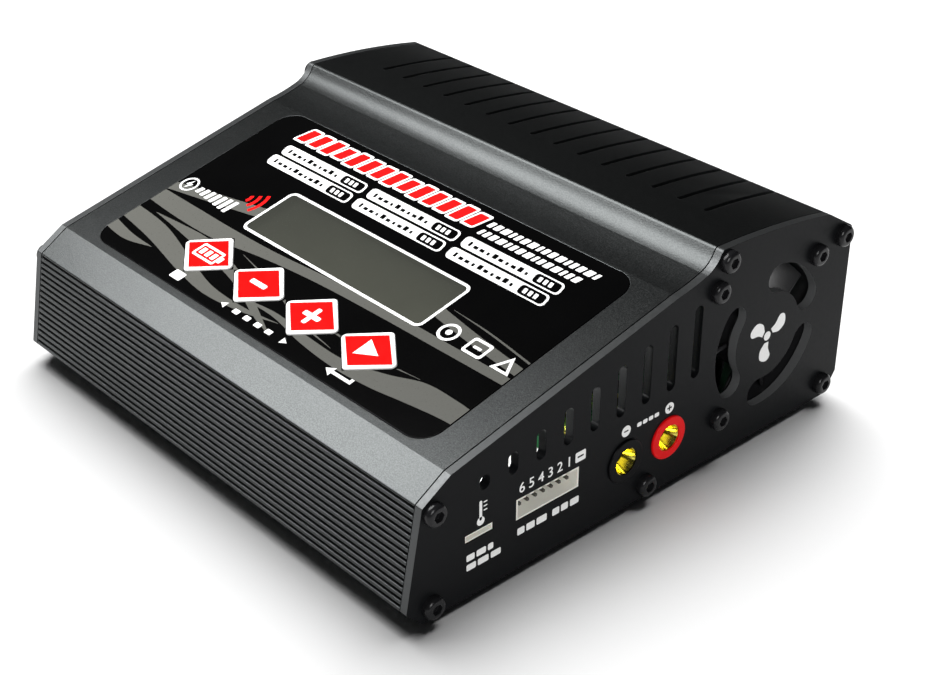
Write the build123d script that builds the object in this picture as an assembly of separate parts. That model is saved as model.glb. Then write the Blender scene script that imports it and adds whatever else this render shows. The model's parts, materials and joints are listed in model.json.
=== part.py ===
from build123d import *

import os
from math import atan2, cos, degrees, radians, sin, tan

os.makedirs("parts", exist_ok=True)

# Balance battery charger: an extruded case closed by two end plates, with a sloping control face.
# X runs from the left end plate to the right one, Y from front to back, Z up.
# The origin is on the table, under the middle of the case. All dimensions are in millimetres.

# ---------------------------------------------------------------- driving dimensions
CASE_W = 157.0          # across the outer faces of both end plates
PLATE_T = 2.4           # end plate thickness
FOOT_H = 2.0            # the case floor stands this far above the table
WALL = 2.0              # extrusion wall
CUT = 1.0               # cutting shapes reach this far past a surface
FIT_GAP = 0.1           # around a part that passes through a cut-out
SEAM_W = 0.3            # groove around the case, between the extrusion and each end plate
SEAM_DEPTH = 0.25

# Grooves between the ribs of the front face
RIB_DEPTH = 0.9
RIB_PITCH = 1.6
RIB_GROOVES = 16
GROOVE_MOUTH_W = 0.9
GROOVE_FLOOR_W = 0.56
GROOVE_OVERRUN = 0.1
FIRST_GROOVE_DROP = 0.75    # first groove, below the upper edge of the front face
FRONT_SLAB_L = 60.0         # thicker wall behind the ribs

PLATE_X = CASE_W / 2            # outer face of an end plate
CASE_X = PLATE_X - PLATE_T      # end of the extrusion, inner face of an end plate

# Corners of the case section, as (y, z)
BOTTOM_FRONT = (-69.8, FOOT_H)
FRONT_LOW = (-74.2, FOOT_H + 4.4)
FRONT_HIGH = (-69.3, FOOT_H + 30.4)
SLOPE_LOW = (-61.1, FOOT_H + 35.4)
SLOPE_HIGH = (9.1, FOOT_H + 51.87)
COVE_MID = (18.7, FOOT_H + 54.1)
COVE_TOP = (23.1, FOOT_H + 57.9)
RIDGE = (23.8, FOOT_H + 59.0)
ROOF_BACK = (64.1, FOOT_H + 54.7)
BACK_HIGH = (74.2, FOOT_H + 48.3)
BACK_LOW = (74.2, FOOT_H + 5.5)
BOTTOM_BACK = (70.2, FOOT_H)
COVE_LOW_R = 55.0
COVE_HIGH_R = 8.0
ROOF_R = 242.0
ROUNDED_CORNERS = [
    (FRONT_HIGH, 0.5),
    (SLOPE_LOW, 0.6),
    (RIDGE, 1.1),
    (ROOF_BACK, 1.5),
    (BACK_HIGH, 2.0),
    (BACK_LOW, 1.0),
    (BOTTOM_BACK, 1.0),
    (FRONT_LOW, 0.8),
    (BOTTOM_FRONT, 1.0),
]

SLOPE_ANGLE = atan2(SLOPE_HIGH[1] - SLOPE_LOW[1], SLOPE_HIGH[0] - SLOPE_LOW[0])
FRONT_ANGLE = atan2(FRONT_HIGH[1] - FRONT_LOW[1], FRONT_HIGH[0] - FRONT_LOW[0])

# End-plate screws, the same on both ends, as (y, z)
PLATE_SCREWS = [
    (-66.2, FOOT_H + 28.0),
    (-67.0, FOOT_H + 3.4),
    (0.8, FOOT_H + 3.7),
    (25.8, FOOT_H + 55.5),
    (70.1, FOOT_H + 47.0),
    (67.8, FOOT_H + 4.4),
]
SCREW_R = 1.45          # M3 shank
SCREW_HOLE_R = 1.5      # threaded hole for it
SCREW_CLEAR_R = 1.7     # clearance hole for it
SCREW_HEAD_R = 2.9
SCREW_HEAD_H = 2.1
SCREW_HEAD_ROUND = 1.15
SCREW_SOCKET_R = 1.25   # inscribed radius of the hexagon socket
SCREW_SOCKET_DEPTH = 1.3
PLATE_SCREW_L = 10.0
FAN_SCREW_L = 8.0
PORT_R = 2.6            # screw port inside the extrusion

# Screws of the boards and of the floor
BOARD_SCREW_L = 4.0
PAN_HEAD_R = 2.7
PAN_HEAD_H = 1.9
PAN_ROUNDING = 0.45     # of a pan head, as a share of its height
PAN_CROSS = (1.2, 0.6, 0.6)     # cross recess: length as a share of the head's radius, width, depth
FLOOR_HEAD_R = 2.9
FLOOR_HEAD_H = 1.3
FLOOR_COUNTERSINK_R = 3.0
FLOOR_CROSS = (3.2, 0.7, 0.6)   # cross recess: length, width, depth
STANDOFF_R = 2.75       # inscribed radius of the hexagon standoffs

# Rubber feet
FOOT_R = 6.0
FOOT_ROUND = 0.7
FOOT_X = 54.0
FOOT_Y = (-47.0, 49.0)

# Vent slots of the end plates
VENT_COUNT = 9
VENT_FIRST_Y = -51.3
VENT_PITCH = 8.5
VENT_W = 2.9
VENT_LOW_Z = FOOT_H + 27.1
VENT_TO_SLOPE = 6.8     # from a slot's top end up to the slope

# Saw-cut vents of the roof
ROOF_VENT_COUNT = 15
ROOF_VENT_PITCH = 8.71
ROOF_VENT_W = 1.5
ROOF_VENT_Y = (37.1, 68.0)
ROOF_VENT_LOW_Z = 53.6

# Control face; s is the distance up the slope from its front edge
LABEL_SIZE = (133.8, 69.0)
LABEL_S = 36.9
LABEL_CORNER = 6.0
LABEL_T = 0.6
LABEL_RECESS = 0.5
LABEL_GAP = 0.15
DISPLAY_CENTRE = (0.6, 37.5)
WINDOW_SIZE = (68.8, 16.6)
WINDOW_STEP = 0.4       # the window's lower step is this much larger on each side
WINDOW_GAP = 0.05
KEY_COUNT = 4
KEY_PITCH = 21.4
KEY_MIDDLE_X = 0.4
KEY_S = 15.9
KEY_HALF_X = 10.25
KEY_HALF_S = 8.15
KEY_CORNER = 1.3
KEY_GAP = 0.15
KEY_PROUD = 0.45        # key top above the slope surface
KEY_TOP_ROUND = 0.3
KEY_TRAVEL = 0.4
KEY_FLANGE = (16.0, 7.6)
KEY_POST_R = 2.2

# Display and its boards, as sizes along (x, s)
BEZEL_SIZE = (73.0, 26.0)
BEZEL_WALL = 0.5
BEZEL_OPENING = (70.2, 18.0)
GLASS_SIZE = (71.6, 21.0)
GLASS_T = 2.4
BACKLIGHT_SIZE = (71.6, 24.6)
DISPLAY_BOARD_SIZE = (82.0, 36.0)
CONTROL_BOARD_SIZE = (96.0, 50.0)
CONTROL_BOARD_CENTRE = (0.0, 31.5)
PANEL_HOLES = (76.0, 31.0)
PANEL_HOLE_R = 1.35
STUD_OUTER_R = 1.75
STUD_R = 1.25           # pressed end of a stud, in the case wall
STUD_BORE_R = 0.9
STUD_SEAT = 1.0
SPACER_R = 2.4
PANEL_SCREW_R = 1.2
PANEL_SCREW_TIP = 4.0   # depth of the screws' tips below the slope
PANEL_SCREW_HEAD = (2.2, 1.7)

# Depths below the slope surface
KEY_SKIRT = 2.05
KEY_FLANGE_T = 1.2
PLUNGER_TOP = 5.0
LCD_BEZEL_TOP = 2.1
LCD_BOARD_TOP = 9.3
CONTROL_BOARD_TOP = 13.6
BOARD_T = 1.6
SWITCH_H = 3.5
SWITCH_SIDE = 6.0
PLUNGER_R = 1.7
PLUNGER_GAP = 0.05
PLUNGER_DEPTH = 1.2     # plunger inside its switch

# Ribbon cable from the control board to the main board
CABLE_T = 0.9
CABLE_X = (-14.0, -2.0)
CABLE_S = 50.0
CABLE_BULGE = 9.0
CABLE_CLEARANCE = 0.6

# Fan
FAN_CENTRE = (43.5, FOOT_H + 28.1)
FAN_SIDE = 42.4
FAN_CORNER = 3.5
FAN_T = 10.0
FAN_HOLES = 33.8
FAN_EAR = (23.1, FOOT_H + 48.3)     # third screw, on an ear of the frame
FAN_EAR_R = 3.2
FAN_BORE_R = 19.9
FAN_HUB_R = 10.5
FAN_BLADES = 7
FAN_BLADE_R = 19.3
FAN_X = CASE_X - FAN_T
FAN_STRUTS = 3
STRUT_W = 2.2
STRUT_FIRST_ANGLE = 30.0
MOTOR_SEAT_T = 1.5
BEARING_R = 2.0
BEARING_TUBE_R = 3.0
BEARING_BORE_R = 1.04
BEARING_END = 7.0       # the fan's own stations are measured from the frame's inner face
SHAFT_R = 1.0
SHAFT_START = 1.0
STATOR_R = 4.4
STATOR_X = (3.0, 6.2)
POLES = 4
POLE_NECK = (5.4, 3.2, 2.0)     # distance from the axis, length, width
POLE_SHOE = (6.9, 1.0, 6.0)
COIL_OUTER = (4.6, 1.9, 3.6)
COIL_INNER = (3.24, 2.4, 2.04)
COIL_R = 5.45
CUP_X = (2.0, 9.2)
CUP_ROUND = 0.8
MAGNET_R = (8.2, 9.2)
MAGNET_X = (2.4, 8.0)
BLADE_ROOT_SINK = 0.6
BLADE_CHORD = 8.6
BLADE_ROOT = (38.0, 1.1, 0.5)   # pitch angle, thickness, corner radius
BLADE_TIP = (52.0, 0.9, 0.4)
FAN_LEAD_R = 0.55
FAN_LEAD_SHIFT = 0.7
GRILLE_R = (11.9, 19.4)
GRILLE_OPENINGS = [(9.0, 95.0), (131.0, 227.0), (249.0, 352.0)]

# Ports of the right end plate, as (y, z)
BALANCE_PORT = (-31.8, FOOT_H + 16.6)
BALANCE_SIZE = (19.7, 5.6)
BALANCE_MOUTH = PLATE_X - 0.1
BALANCE_DEPTH = 9.8
BALANCE_BACK_T = 2.2
BALANCE_WALLS = (0.5, 0.45)     # side walls, upper and lower walls
BALANCE_KEYING = (1.3, 1.2)     # width of the gaps in the upper wall, and their depth along X
BALANCE_PINS = 7
BALANCE_PIN_PITCH = 2.5
BALANCE_PIN_TIP = PLATE_X - 1.3
SENSOR_PORT = (-52.9, FOOT_H + 16.1)
SENSOR_SIZE = (8.2, 1.9)
SENSOR_MOUTH = PLATE_X - 0.2
SENSOR_DEPTH = 9.2
SENSOR_BACK_T = 2.0
SENSOR_WALL = 0.4
SENSOR_PINS = 3
SENSOR_PIN_PITCH = 2.54
SENSOR_PIN_TIP = PLATE_X - 1.8
PIN_SIDE = 0.64
PIN_HOLE_SIDE = 0.68
PIN_OUT = 2.2           # pins leave the back of a housing by this much, then turn down
PIN_BELOW_BOARD = 1.2
PIN_BOARD_HOLE_R = 0.55
OUTPUT_NEGATIVE = (-6.6, FOOT_H + 13.9)
OUTPUT_POSITIVE = (8.3, FOOT_H + 13.9)
SOCKET_FLANGE_R = 5.75
SOCKET_BODY_R = 4.6
SOCKET_PROUD = 0.6
SOCKET_BORE_R = 2.0
SOCKET_MOUTH_R = 3.5
SOCKET_MOUTH_DEPTH = 3.0
SOCKET_BORE_DEPTH = 18.0
SOCKET_LIP = 0.12       # flat rim around the funnel
SOCKET_FACE = PLATE_X + SOCKET_PROUD - 0.3      # face of the contact, a little inside the bush
SOCKET_END_T = 1.5
SOCKET_TAIL_R = 1.8
SOCKET_TAIL_L = 5.5
SOCKET_FLANGE_ROUND = 0.35
SOCKET_SLEEVE_L = 9.0
SOCKET_FIT = 0.02
NUT_R = 6.4
NUT_T = 3.2
WIRE_R = 1.7

# Ports of the left end plate, as (y, z)
INPUT_PORT = (8.3, FOOT_H + 18.0)
INPUT_SIZE = (16.0, 8.2)
INPUT_PIN_PITCH = 7.2
INPUT_SCREW_PITCH = 24.0
INPUT_PIN_R = 1.75
INPUT_PIN_ROUND = 0.8
INPUT_PIN_TIP = -PLATE_X + 0.6
INPUT_PIN_STEP = -PLATE_X + 8.8
INPUT_SHANK_R = 1.4
INPUT_SHANK_END = -PLATE_X + 18.0
INPUT_CORNER = 1.5
INPUT_FLANGE_GROW = (7.0, 2.6)
INPUT_FLANGE_T = 1.6
INPUT_FLANGE_CORNER = 2.6
INPUT_FLANGE_ROUND = 0.5
INPUT_BODY_L = 14.0
INPUT_CAVITY_WALL = (2.4, 1.6)
INPUT_CAVITY_CORNER = 1.2
INPUT_CAVITY_L = 9.0
INPUT_SCREW_HEAD = (1.9, 0.8)
INPUT_SCREW_R = 1.0
INPUT_SCREW_L = 4.6
INPUT_SCREW_HOLE_R = 1.1
INPUT_SCREW_CLEAR_R = 1.15
USB_PORT = (-40.0, FOOT_H + 10.9)
USB_SIZE = (7.6, 4.0)
USB_CORNER = 0.5
USB_SHEET = 0.35
USB_X = (-PLATE_X + 0.3, -PLATE_X + 9.3)
USB_BACK_T = 0.4
USB_TONGUE_X = -PLATE_X + 2.0
USB_TONGUE_W = 3.8
USB_TONGUE_Z = (-0.4, 0.5)

# Boards inside
MAIN_BOARD_Z = FOOT_H + 7.2
MAIN_BOARD_TOP = MAIN_BOARD_Z + BOARD_T
MAIN_BOARD_X = (-75.0, 56.0)
MAIN_BOARD_Y = (-69.2, 71.4)
BALANCE_BOARD_X = (38.0, 75.6)
BALANCE_BOARD_Y = (-60.0, -18.0)
BALANCE_BOARD_TOP = BALANCE_PORT[1] - BALANCE_SIZE[1] / 2
BALANCE_STANDOFF_INSET = (4.0, 5.0)
STANDOFF_POINTS = [(-66.0, -58.0), (50.0, -58.0), (-66.0, 60.0), (52.0, 60.0)]

# Power electronics
SINK_X = (-58.0, 48.0)
SINK_Y = (28.0, 60.0)
SINK_TOP = 42.0
SINK_FACE_T = 4.0
SINK_THREAD_DEPTH = 3.7
SINK_BASE_T = 4.0
FINS = 6
FIN_T = 1.6
TRANSISTOR_COUNT = 6
TRANSISTOR_PITCH = 16.0
TRANSISTOR_HALF_W = 5.0
TRANSISTOR_T = 4.5
TRANSISTOR_LOW = 5.0        # above the board
TRANSISTOR_BODY_H = 9.2
TRANSISTOR_TAB_H = 7.8
TRANSISTOR_HOLE_UP = 19.0   # above the board
TAB_T = 1.3                 # metal tab of a transistor
LEG_PITCH = 2.54
LEG_HALF_W = 0.4
LEG_Y = (2.9, 2.4)          # in front of the heat sink
INDUCTORS = [(-29.4, 4.0), (14.0, 4.0)]
CORE_R = (7.0, 12.5)
CORE_H = 11.0
CORE_LIFT = 1.3
TURNS = 18
TURN_T = 1.2
TURN_HALF_W = 0.6
TURN_GAP = 0.05
CAPACITOR_R = 6.25
CAPACITOR_H = 18.0
CAPACITOR_ROUND = 0.8
CAPACITOR_POINTS = [(-60.0, -20.0), (-45.0, -20.0), (-30.0, -20.0)]
CHIP_X = (-12.0, 2.0)
CHIP_Y = (-40.0, -26.0)
CHIP_H = 1.4
BUZZER_POINT = (-60.0, -42.0)
BUZZER_R = 6.0
BUZZER_H = 9.0
BUZZER_HOLE = (1.2, 1.0)    # radius, depth

panel = Plane(
    origin=(0, SLOPE_LOW[0], SLOPE_LOW[1]),
    x_dir=(1, 0, 0),
    z_dir=(0, -sin(SLOPE_ANGLE), cos(SLOPE_ANGLE)),
)


# ---------------------------------------------------------------- helpers
def prism(sketch, x_from, x_to):
    """A sketch drawn in (y, z), extruded along X from one station to another."""
    return extrude(Plane.YZ.offset(x_from) * sketch, amount=x_to - x_from)


def under_slope(sketch, depth_from, depth_to):
    """A sketch drawn on the slope as (x, s), extruded between two depths below the slope."""
    return extrude(panel.offset(-depth_to) * sketch, amount=depth_to - depth_from)


def upright(sketch, z_from, z_to):
    """A sketch drawn in plan, extruded upwards."""
    return extrude(Pos(0, 0, z_from) * sketch, amount=z_to - z_from)


def box(x_range, y_range, z_range):
    size = [r[1] - r[0] for r in (x_range, y_range, z_range)]
    middle = [(r[0] + r[1]) / 2 for r in (x_range, y_range, z_range)]
    return Pos(*middle) * Box(*size)


def disc(centre, radius):
    return Pos(*centre) * Circle(radius)


def ring(centre, outer, inner):
    return disc(centre, outer) - disc(centre, inner)


def pin(x_range, centre, side):
    """Square bar along X around a point given as (y, z)."""
    y, z = centre
    return box(x_range, (y - side / 2, y + side / 2), (z - side / 2, z + side / 2))


def standing_cylinder(radius, height):
    """Cylinder that stands on z = 0."""
    return Cylinder(radius, height, align=(Align.CENTER, Align.CENTER, Align.MIN))


def standing_cone(low_radius, high_radius, height):
    """Cone that stands on z = 0."""
    return Cone(low_radius, high_radius, height, align=(Align.CENTER, Align.CENTER, Align.MIN))


def slope_z(y):
    return SLOPE_LOW[1] + (y - SLOPE_LOW[0]) * tan(SLOPE_ANGLE)


def wire(points, radius, start_direction):
    """Round wire through some points, which starts in a given direction and ends pointing down."""
    path = Spline(points, tangents=(start_direction, (0, 0, -1)))
    section = Plane(origin=path @ 0, z_dir=path % 0) * Circle(radius)
    return sweep(section, path=path)


def save(shape, name):
    """Writes one node; several separate solids stay separate in one compound."""
    solids = shape.solids() if hasattr(shape, "solids") else [s for part in shape for s in part.solids()]
    solids = list(solids)
    whole = solids[0] if len(solids) == 1 else Compound(children=solids)
    whole.label = name
    export_step(whole, f"parts/{name}.step")


# ---------------------------------------------------------------- case
def case_outline():
    """Outer section of the case, which is also the outline of the end plates."""
    edges = [
        Polyline(BOTTOM_BACK, BOTTOM_FRONT, FRONT_LOW, FRONT_HIGH, SLOPE_LOW, SLOPE_HIGH),
        RadiusArc(SLOPE_HIGH, COVE_MID, -COVE_LOW_R),
        RadiusArc(COVE_MID, COVE_TOP, -COVE_HIGH_R),
        Line(COVE_TOP, RIDGE),
        RadiusArc(RIDGE, ROOF_BACK, ROOF_R),
        Polyline(ROOF_BACK, BACK_HIGH, BACK_LOW, BOTTOM_BACK),
    ]
    face = make_face(edges)
    for corner, radius in ROUNDED_CORNERS:
        vertex = face.vertices().sort_by_distance((corner[0], corner[1], 0))[0]
        face = fillet(vertex, radius)
    return face


def rib_grooves():
    """Grooves between the ribs of the slanted front face."""
    mouth = GROOVE_MOUTH_W / 2
    floor = GROOVE_FLOOR_W / 2
    corners = [(-mouth, GROOVE_OVERRUN), (-floor, -RIB_DEPTH), (floor, -RIB_DEPTH), (mouth, GROOVE_OVERRUN)]
    groove = make_face(Polyline(*corners, close=True))
    grooves = Sketch()
    for i in range(RIB_GROOVES):
        z = FRONT_HIGH[1] - FIRST_GROOVE_DROP - i * RIB_PITCH
        y = FRONT_LOW[0] + (z - FRONT_LOW[1]) / tan(FRONT_ANGLE)
        grooves += Pos(y, z) * Rot(0, 0, degrees(FRONT_ANGLE)) * groove
    return grooves


def case_section(outline):
    """Hollow section: walls, front ribs, and the six ports that take the plate screws."""
    cavity = offset(outline, amount=-WALL)
    front_wall = WALL + RIB_DEPTH
    slab_middle = (
        (FRONT_LOW[0] + FRONT_HIGH[0]) / 2 + (front_wall / 2) * sin(FRONT_ANGLE),
        (FRONT_LOW[1] + FRONT_HIGH[1]) / 2 - (front_wall / 2) * cos(FRONT_ANGLE),
    )
    cavity -= Pos(*slab_middle) * Rot(0, 0, degrees(FRONT_ANGLE)) * Rectangle(FRONT_SLAB_L, front_wall)
    section = outline - cavity
    for point in PLATE_SCREWS:
        section += disc(point, PORT_R) & outline
    for point in PLATE_SCREWS:
        section -= disc(point, SCREW_HOLE_R)
    return section - rib_grooves()


def key_positions():
    middle = (KEY_COUNT - 1) / 2
    return [(KEY_MIDDLE_X + (i - middle) * KEY_PITCH, KEY_S) for i in range(KEY_COUNT)]


def diamond(grow):
    """Key outline, grown on every side by the same distance."""
    sides = (KEY_HALF_X ** 2 + KEY_HALF_S ** 2) ** 0.5
    half_x = KEY_HALF_X + grow * sides / KEY_HALF_S
    half_s = KEY_HALF_S + grow * sides / KEY_HALF_X
    shape = make_face(Polyline((half_x, 0), (0, half_s), (-half_x, 0), (0, -half_s), close=True))
    return fillet(shape.vertices(), KEY_CORNER + grow)


def panel_hole_points():
    """Holes that hold the display board and the control board, as (x, s)."""
    x, s = DISPLAY_CENTRE
    return [(x + sx * PANEL_HOLES[0] / 2, s + ss * PANEL_HOLES[1] / 2) for sx in (-1, 1) for ss in (-1, 1)]


def window_step_sketch(grow):
    width = WINDOW_SIZE[0] + 2 * (WINDOW_STEP + grow)
    height = WINDOW_SIZE[1] + 2 * (WINDOW_STEP + grow)
    return Pos(*DISPLAY_CENTRE) * Rectangle(width, height)


def label_sketch(grow):
    sheet = RectangleRounded(LABEL_SIZE[0] + 2 * grow, LABEL_SIZE[1] + 2 * grow, LABEL_CORNER + grow)
    return Pos(0, LABEL_S) * sheet


def roof_vents():
    """Saw-cut slots across the roof."""
    slot = Rot(0, 0, 90) * SlotOverall(ROOF_VENT_Y[1] - ROOF_VENT_Y[0], ROOF_VENT_W)
    middle = (ROOF_VENT_COUNT - 1) / 2
    slots = Sketch()
    for i in range(ROOF_VENT_COUNT):
        slots += Pos((i - middle) * ROOF_VENT_PITCH, sum(ROOF_VENT_Y) / 2) * slot
    return upright(slots, ROOF_VENT_LOW_Z, RIDGE[1] + CUT)


def case_extrusion(outline):
    body = prism(case_section(outline), -CASE_X, CASE_X)
    body -= under_slope(label_sketch(LABEL_GAP), -CUT, LABEL_RECESS)
    body -= under_slope(window_step_sketch(FIT_GAP), -CUT, WALL + CUT)
    for x, s in key_positions():
        body -= under_slope(Pos(x, s) * diamond(KEY_GAP), -CUT, WALL + CUT)
    for point in panel_hole_points():
        body -= under_slope(disc(point, STUD_R), WALL - STUD_SEAT, WALL + CUT)
    body -= roof_vents()
    countersink = standing_cone(FLOOR_COUNTERSINK_R, SCREW_CLEAR_R, FLOOR_HEAD_H)
    for x, y in STANDOFF_POINTS:
        body -= Pos(x, y, FOOT_H) * (standing_cylinder(SCREW_CLEAR_R, WALL) + countersink)
    return body


# ---------------------------------------------------------------- end plates
def vent_slots():
    slots = Sketch()
    for i in range(VENT_COUNT):
        y = VENT_FIRST_Y + i * VENT_PITCH
        top = slope_z(y) - VENT_TO_SLOPE
        slots += Pos(y, (top + VENT_LOW_Z) / 2) * Rot(0, 0, 90) * SlotOverall(top - VENT_LOW_Z, VENT_W)
    return slots


def grille_openings():
    """Three kidney-shaped openings with round ends around the solid middle of the grille."""
    mid_r = sum(GRILLE_R) / 2
    end_r = (GRILLE_R[1] - GRILLE_R[0]) / 2
    end_angle = degrees(end_r / mid_r)
    openings = Sketch()
    for start, stop in GRILLE_OPENINGS:
        first = start + end_angle
        sweep_angle = stop - start - 2 * end_angle
        arc = CenterArc((0, 0), mid_r, first, sweep_angle)
        openings += Pos(*FAN_CENTRE) * SlotArc(arc, 2 * end_r)
    return openings


def end_plate(outline, cut_outs, inner_x, outer_x):
    """Plate with vents and screw holes; a fine groove runs around its edge next to the extrusion."""
    holes = cut_outs + vent_slots()
    for point in PLATE_SCREWS:
        holes += disc(point, SCREW_CLEAR_R)
    seam_x = inner_x + SEAM_W * (1 if outer_x > inner_x else -1)
    groove_floor = prism(offset(outline, amount=-SEAM_DEPTH) - holes, inner_x, seam_x)
    return groove_floor + prism(outline - holes, seam_x, outer_x)


def fan_corner(side_y, side_z):
    """Screw hole near one corner of the fan's frame, as (y, z)."""
    return (FAN_CENTRE[0] + side_y * FAN_HOLES / 2, FAN_CENTRE[1] + side_z * FAN_HOLES / 2)


def fan_screw_points():
    """The fan hangs on two opposite corners and on the ear at its upper front."""
    return [fan_corner(1, 1), fan_corner(-1, -1), FAN_EAR]


def right_end_plate(outline):
    cut_outs = grille_openings()
    cut_outs += Pos(*BALANCE_PORT) * Rectangle(BALANCE_SIZE[0] + 2 * FIT_GAP, BALANCE_SIZE[1] + 2 * FIT_GAP)
    cut_outs += Pos(*SENSOR_PORT) * Rectangle(SENSOR_SIZE[0] + 2 * FIT_GAP, SENSOR_SIZE[1] + 2 * FIT_GAP)
    for point in (OUTPUT_NEGATIVE, OUTPUT_POSITIVE):
        cut_outs += disc(point, SOCKET_BODY_R + FIT_GAP)
    for point in fan_screw_points():
        cut_outs += disc(point, SCREW_CLEAR_R)
    return end_plate(outline, cut_outs, CASE_X, PLATE_X)


def input_screw_points():
    return [(INPUT_PORT[0] + side * INPUT_SCREW_PITCH / 2, INPUT_PORT[1]) for side in (-1, 1)]


def left_end_plate(outline):
    wide, high = (size + 2 * FIT_GAP for size in INPUT_SIZE)
    cut_outs = Pos(*INPUT_PORT) * RectangleRounded(wide, high, INPUT_CORNER)
    wide, high = (size + 2 * FIT_GAP for size in USB_SIZE)
    cut_outs += Pos(*USB_PORT) * RectangleRounded(wide, high, USB_CORNER + FIT_GAP)
    for point in input_screw_points():
        cut_outs += disc(point, INPUT_SCREW_HOLE_R)
    return end_plate(outline, cut_outs, -CASE_X, -PLATE_X)


# ---------------------------------------------------------------- fasteners
def button_head_screw(length):
    """M3 screw along -X, with its seat at x = 0 and a domed head on the +X side."""
    head = prism(Circle(SCREW_HEAD_R), 0, SCREW_HEAD_H)
    head = fillet(head.edges().sort_by(Axis.X)[-1], SCREW_HEAD_ROUND)
    hexagon = RegularPolygon(SCREW_SOCKET_R, 6, major_radius=False)
    socket = prism(hexagon, SCREW_HEAD_H - SCREW_SOCKET_DEPTH, SCREW_HEAD_H)
    return head + prism(Circle(SCREW_R), -length, 0) - socket


def end_screws(points, x, side, length):
    """Screws seated on an end plate's outer face; side is +1 for the right end, -1 for the left."""
    screw = button_head_screw(length)
    turn = Rot(0, 0, 0) if side > 0 else Rot(0, 0, 180)
    return [Pos(x, y, z) * turn * screw for y, z in points]


def cross_recess(length, width, depth):
    """Cross that is cut down from z = 0."""
    return Box(length, width, 2 * depth) + Box(width, length, 2 * depth)


def floor_screws():
    """Countersunk screws through the floor into the main board's standoffs."""
    head = standing_cone(FLOOR_HEAD_R, SCREW_R, FLOOR_HEAD_H)
    screw = head + standing_cylinder(SCREW_R, BOARD_SCREW_L) - cross_recess(*FLOOR_CROSS)
    return [Pos(x, y, FOOT_H) * screw for x, y in STANDOFF_POINTS]


def board_standoffs():
    """Hexagon standoffs: four under the main board, and two longer ones under the balance board."""
    outer = RegularPolygon(STANDOFF_R, 6, major_radius=False)
    sleeve = upright(outer - Circle(SCREW_HOLE_R), FOOT_H + WALL, MAIN_BOARD_Z)
    long_sleeve = upright(outer - Circle(SCREW_HOLE_R), MAIN_BOARD_TOP, BALANCE_BOARD_TOP - BOARD_T)
    standoffs = [Pos(x, y, 0) * sleeve for x, y in STANDOFF_POINTS]
    return standoffs + [Pos(x, y, 0) * long_sleeve for x, y in balance_standoff_points()]


def pan_screw(head_r, head_h, shank_r, length):
    """Screw along -Z, seated at z = 0, with a domed head above and a cross recess."""
    head = standing_cylinder(head_r, head_h)
    head = fillet(head.edges().sort_by(Axis.Z)[-1], head_h * PAN_ROUNDING)
    shank = Pos(0, 0, -length) * standing_cylinder(shank_r, length)
    reach, width, depth = PAN_CROSS
    return head + shank - Pos(0, 0, head_h) * cross_recess(head_r * reach, width, depth)


def board_screws():
    """M3 x 4 pan-head screws of the two boards and of the power transistors."""
    screw = pan_screw(PAN_HEAD_R, PAN_HEAD_H, SCREW_R, BOARD_SCREW_L)
    screws = [Pos(x, y, MAIN_BOARD_TOP) * screw for x, y in STANDOFF_POINTS]
    screws += [Pos(x, y, BALANCE_BOARD_TOP) * screw for x, y in balance_standoff_points()]
    seat = SINK_Y[0] - TAB_T
    screws += [Pos(x, seat, transistor_hole_z()) * Rot(90, 0, 0) * screw for x in transistor_positions()]
    return screws


def rubber_feet():
    foot = standing_cylinder(FOOT_R, FOOT_H)
    foot = fillet(foot.edges().sort_by(Axis.Z)[0], FOOT_ROUND)
    return [Pos(side * FOOT_X, y, 0) * foot for side in (-1, 1) for y in FOOT_Y]


# ---------------------------------------------------------------- control face
def panel_overlay():
    sheet = label_sketch(0) - Pos(*DISPLAY_CENTRE) * Rectangle(*WINDOW_SIZE)
    for x, s in key_positions():
        sheet -= Pos(x, s) * diamond(KEY_GAP)
    return under_slope(sheet, LABEL_RECESS - LABEL_T, LABEL_RECESS)


def display_window():
    """Clear stepped window: its upper part fills the film's opening, its lower step the case's."""
    upper = Rectangle(WINDOW_SIZE[0] - 2 * WINDOW_GAP, WINDOW_SIZE[1] - 2 * WINDOW_GAP)
    clear = under_slope(Pos(*DISPLAY_CENTRE) * upper, LABEL_RECESS - LABEL_T, LABEL_RECESS)
    return clear + under_slope(window_step_sketch(0), LABEL_RECESS, WALL)


def key_cap(x, s):
    """Diamond key with a flange that keeps it under the case wall, and a post down to its switch."""
    flange_end = KEY_SKIRT + KEY_FLANGE_T
    cap = under_slope(diamond(0), -KEY_PROUD, flange_end)
    cap = fillet(cap.faces().sort_by(Axis(panel.origin, panel.z_dir))[-1].edges(), KEY_TOP_ROUND)
    cap += under_slope(Rectangle(*KEY_FLANGE), KEY_SKIRT, flange_end)
    cap += under_slope(Circle(KEY_POST_R), flange_end, PLUNGER_TOP)
    return at_key(cap, x, s)


def at_key(shape, x, s):
    """Moves a shape modelled at the slope's lower edge to a key's place."""
    return Pos(x, s * cos(SLOPE_ANGLE), s * sin(SLOPE_ANGLE)) * shape


def switch_plunger(x, s):
    top = CONTROL_BOARD_TOP - SWITCH_H
    return at_key(under_slope(Circle(PLUNGER_R), PLUNGER_TOP, top + PLUNGER_DEPTH), x, s)


def switch_bodies():
    top = CONTROL_BOARD_TOP - SWITCH_H
    body = under_slope(Rectangle(SWITCH_SIDE, SWITCH_SIDE), top, CONTROL_BOARD_TOP)
    body -= under_slope(Circle(PLUNGER_R + PLUNGER_GAP), top, top + PLUNGER_DEPTH + 2 * KEY_TRAVEL)
    return [at_key(body, x, s) for x, s in key_positions()]


def display_layer(size, depth_from, depth_to):
    """Rectangular layer around the display's centre, between two depths below the slope."""
    return under_slope(Pos(*DISPLAY_CENTRE) * Rectangle(*size), depth_from, depth_to)


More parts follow.
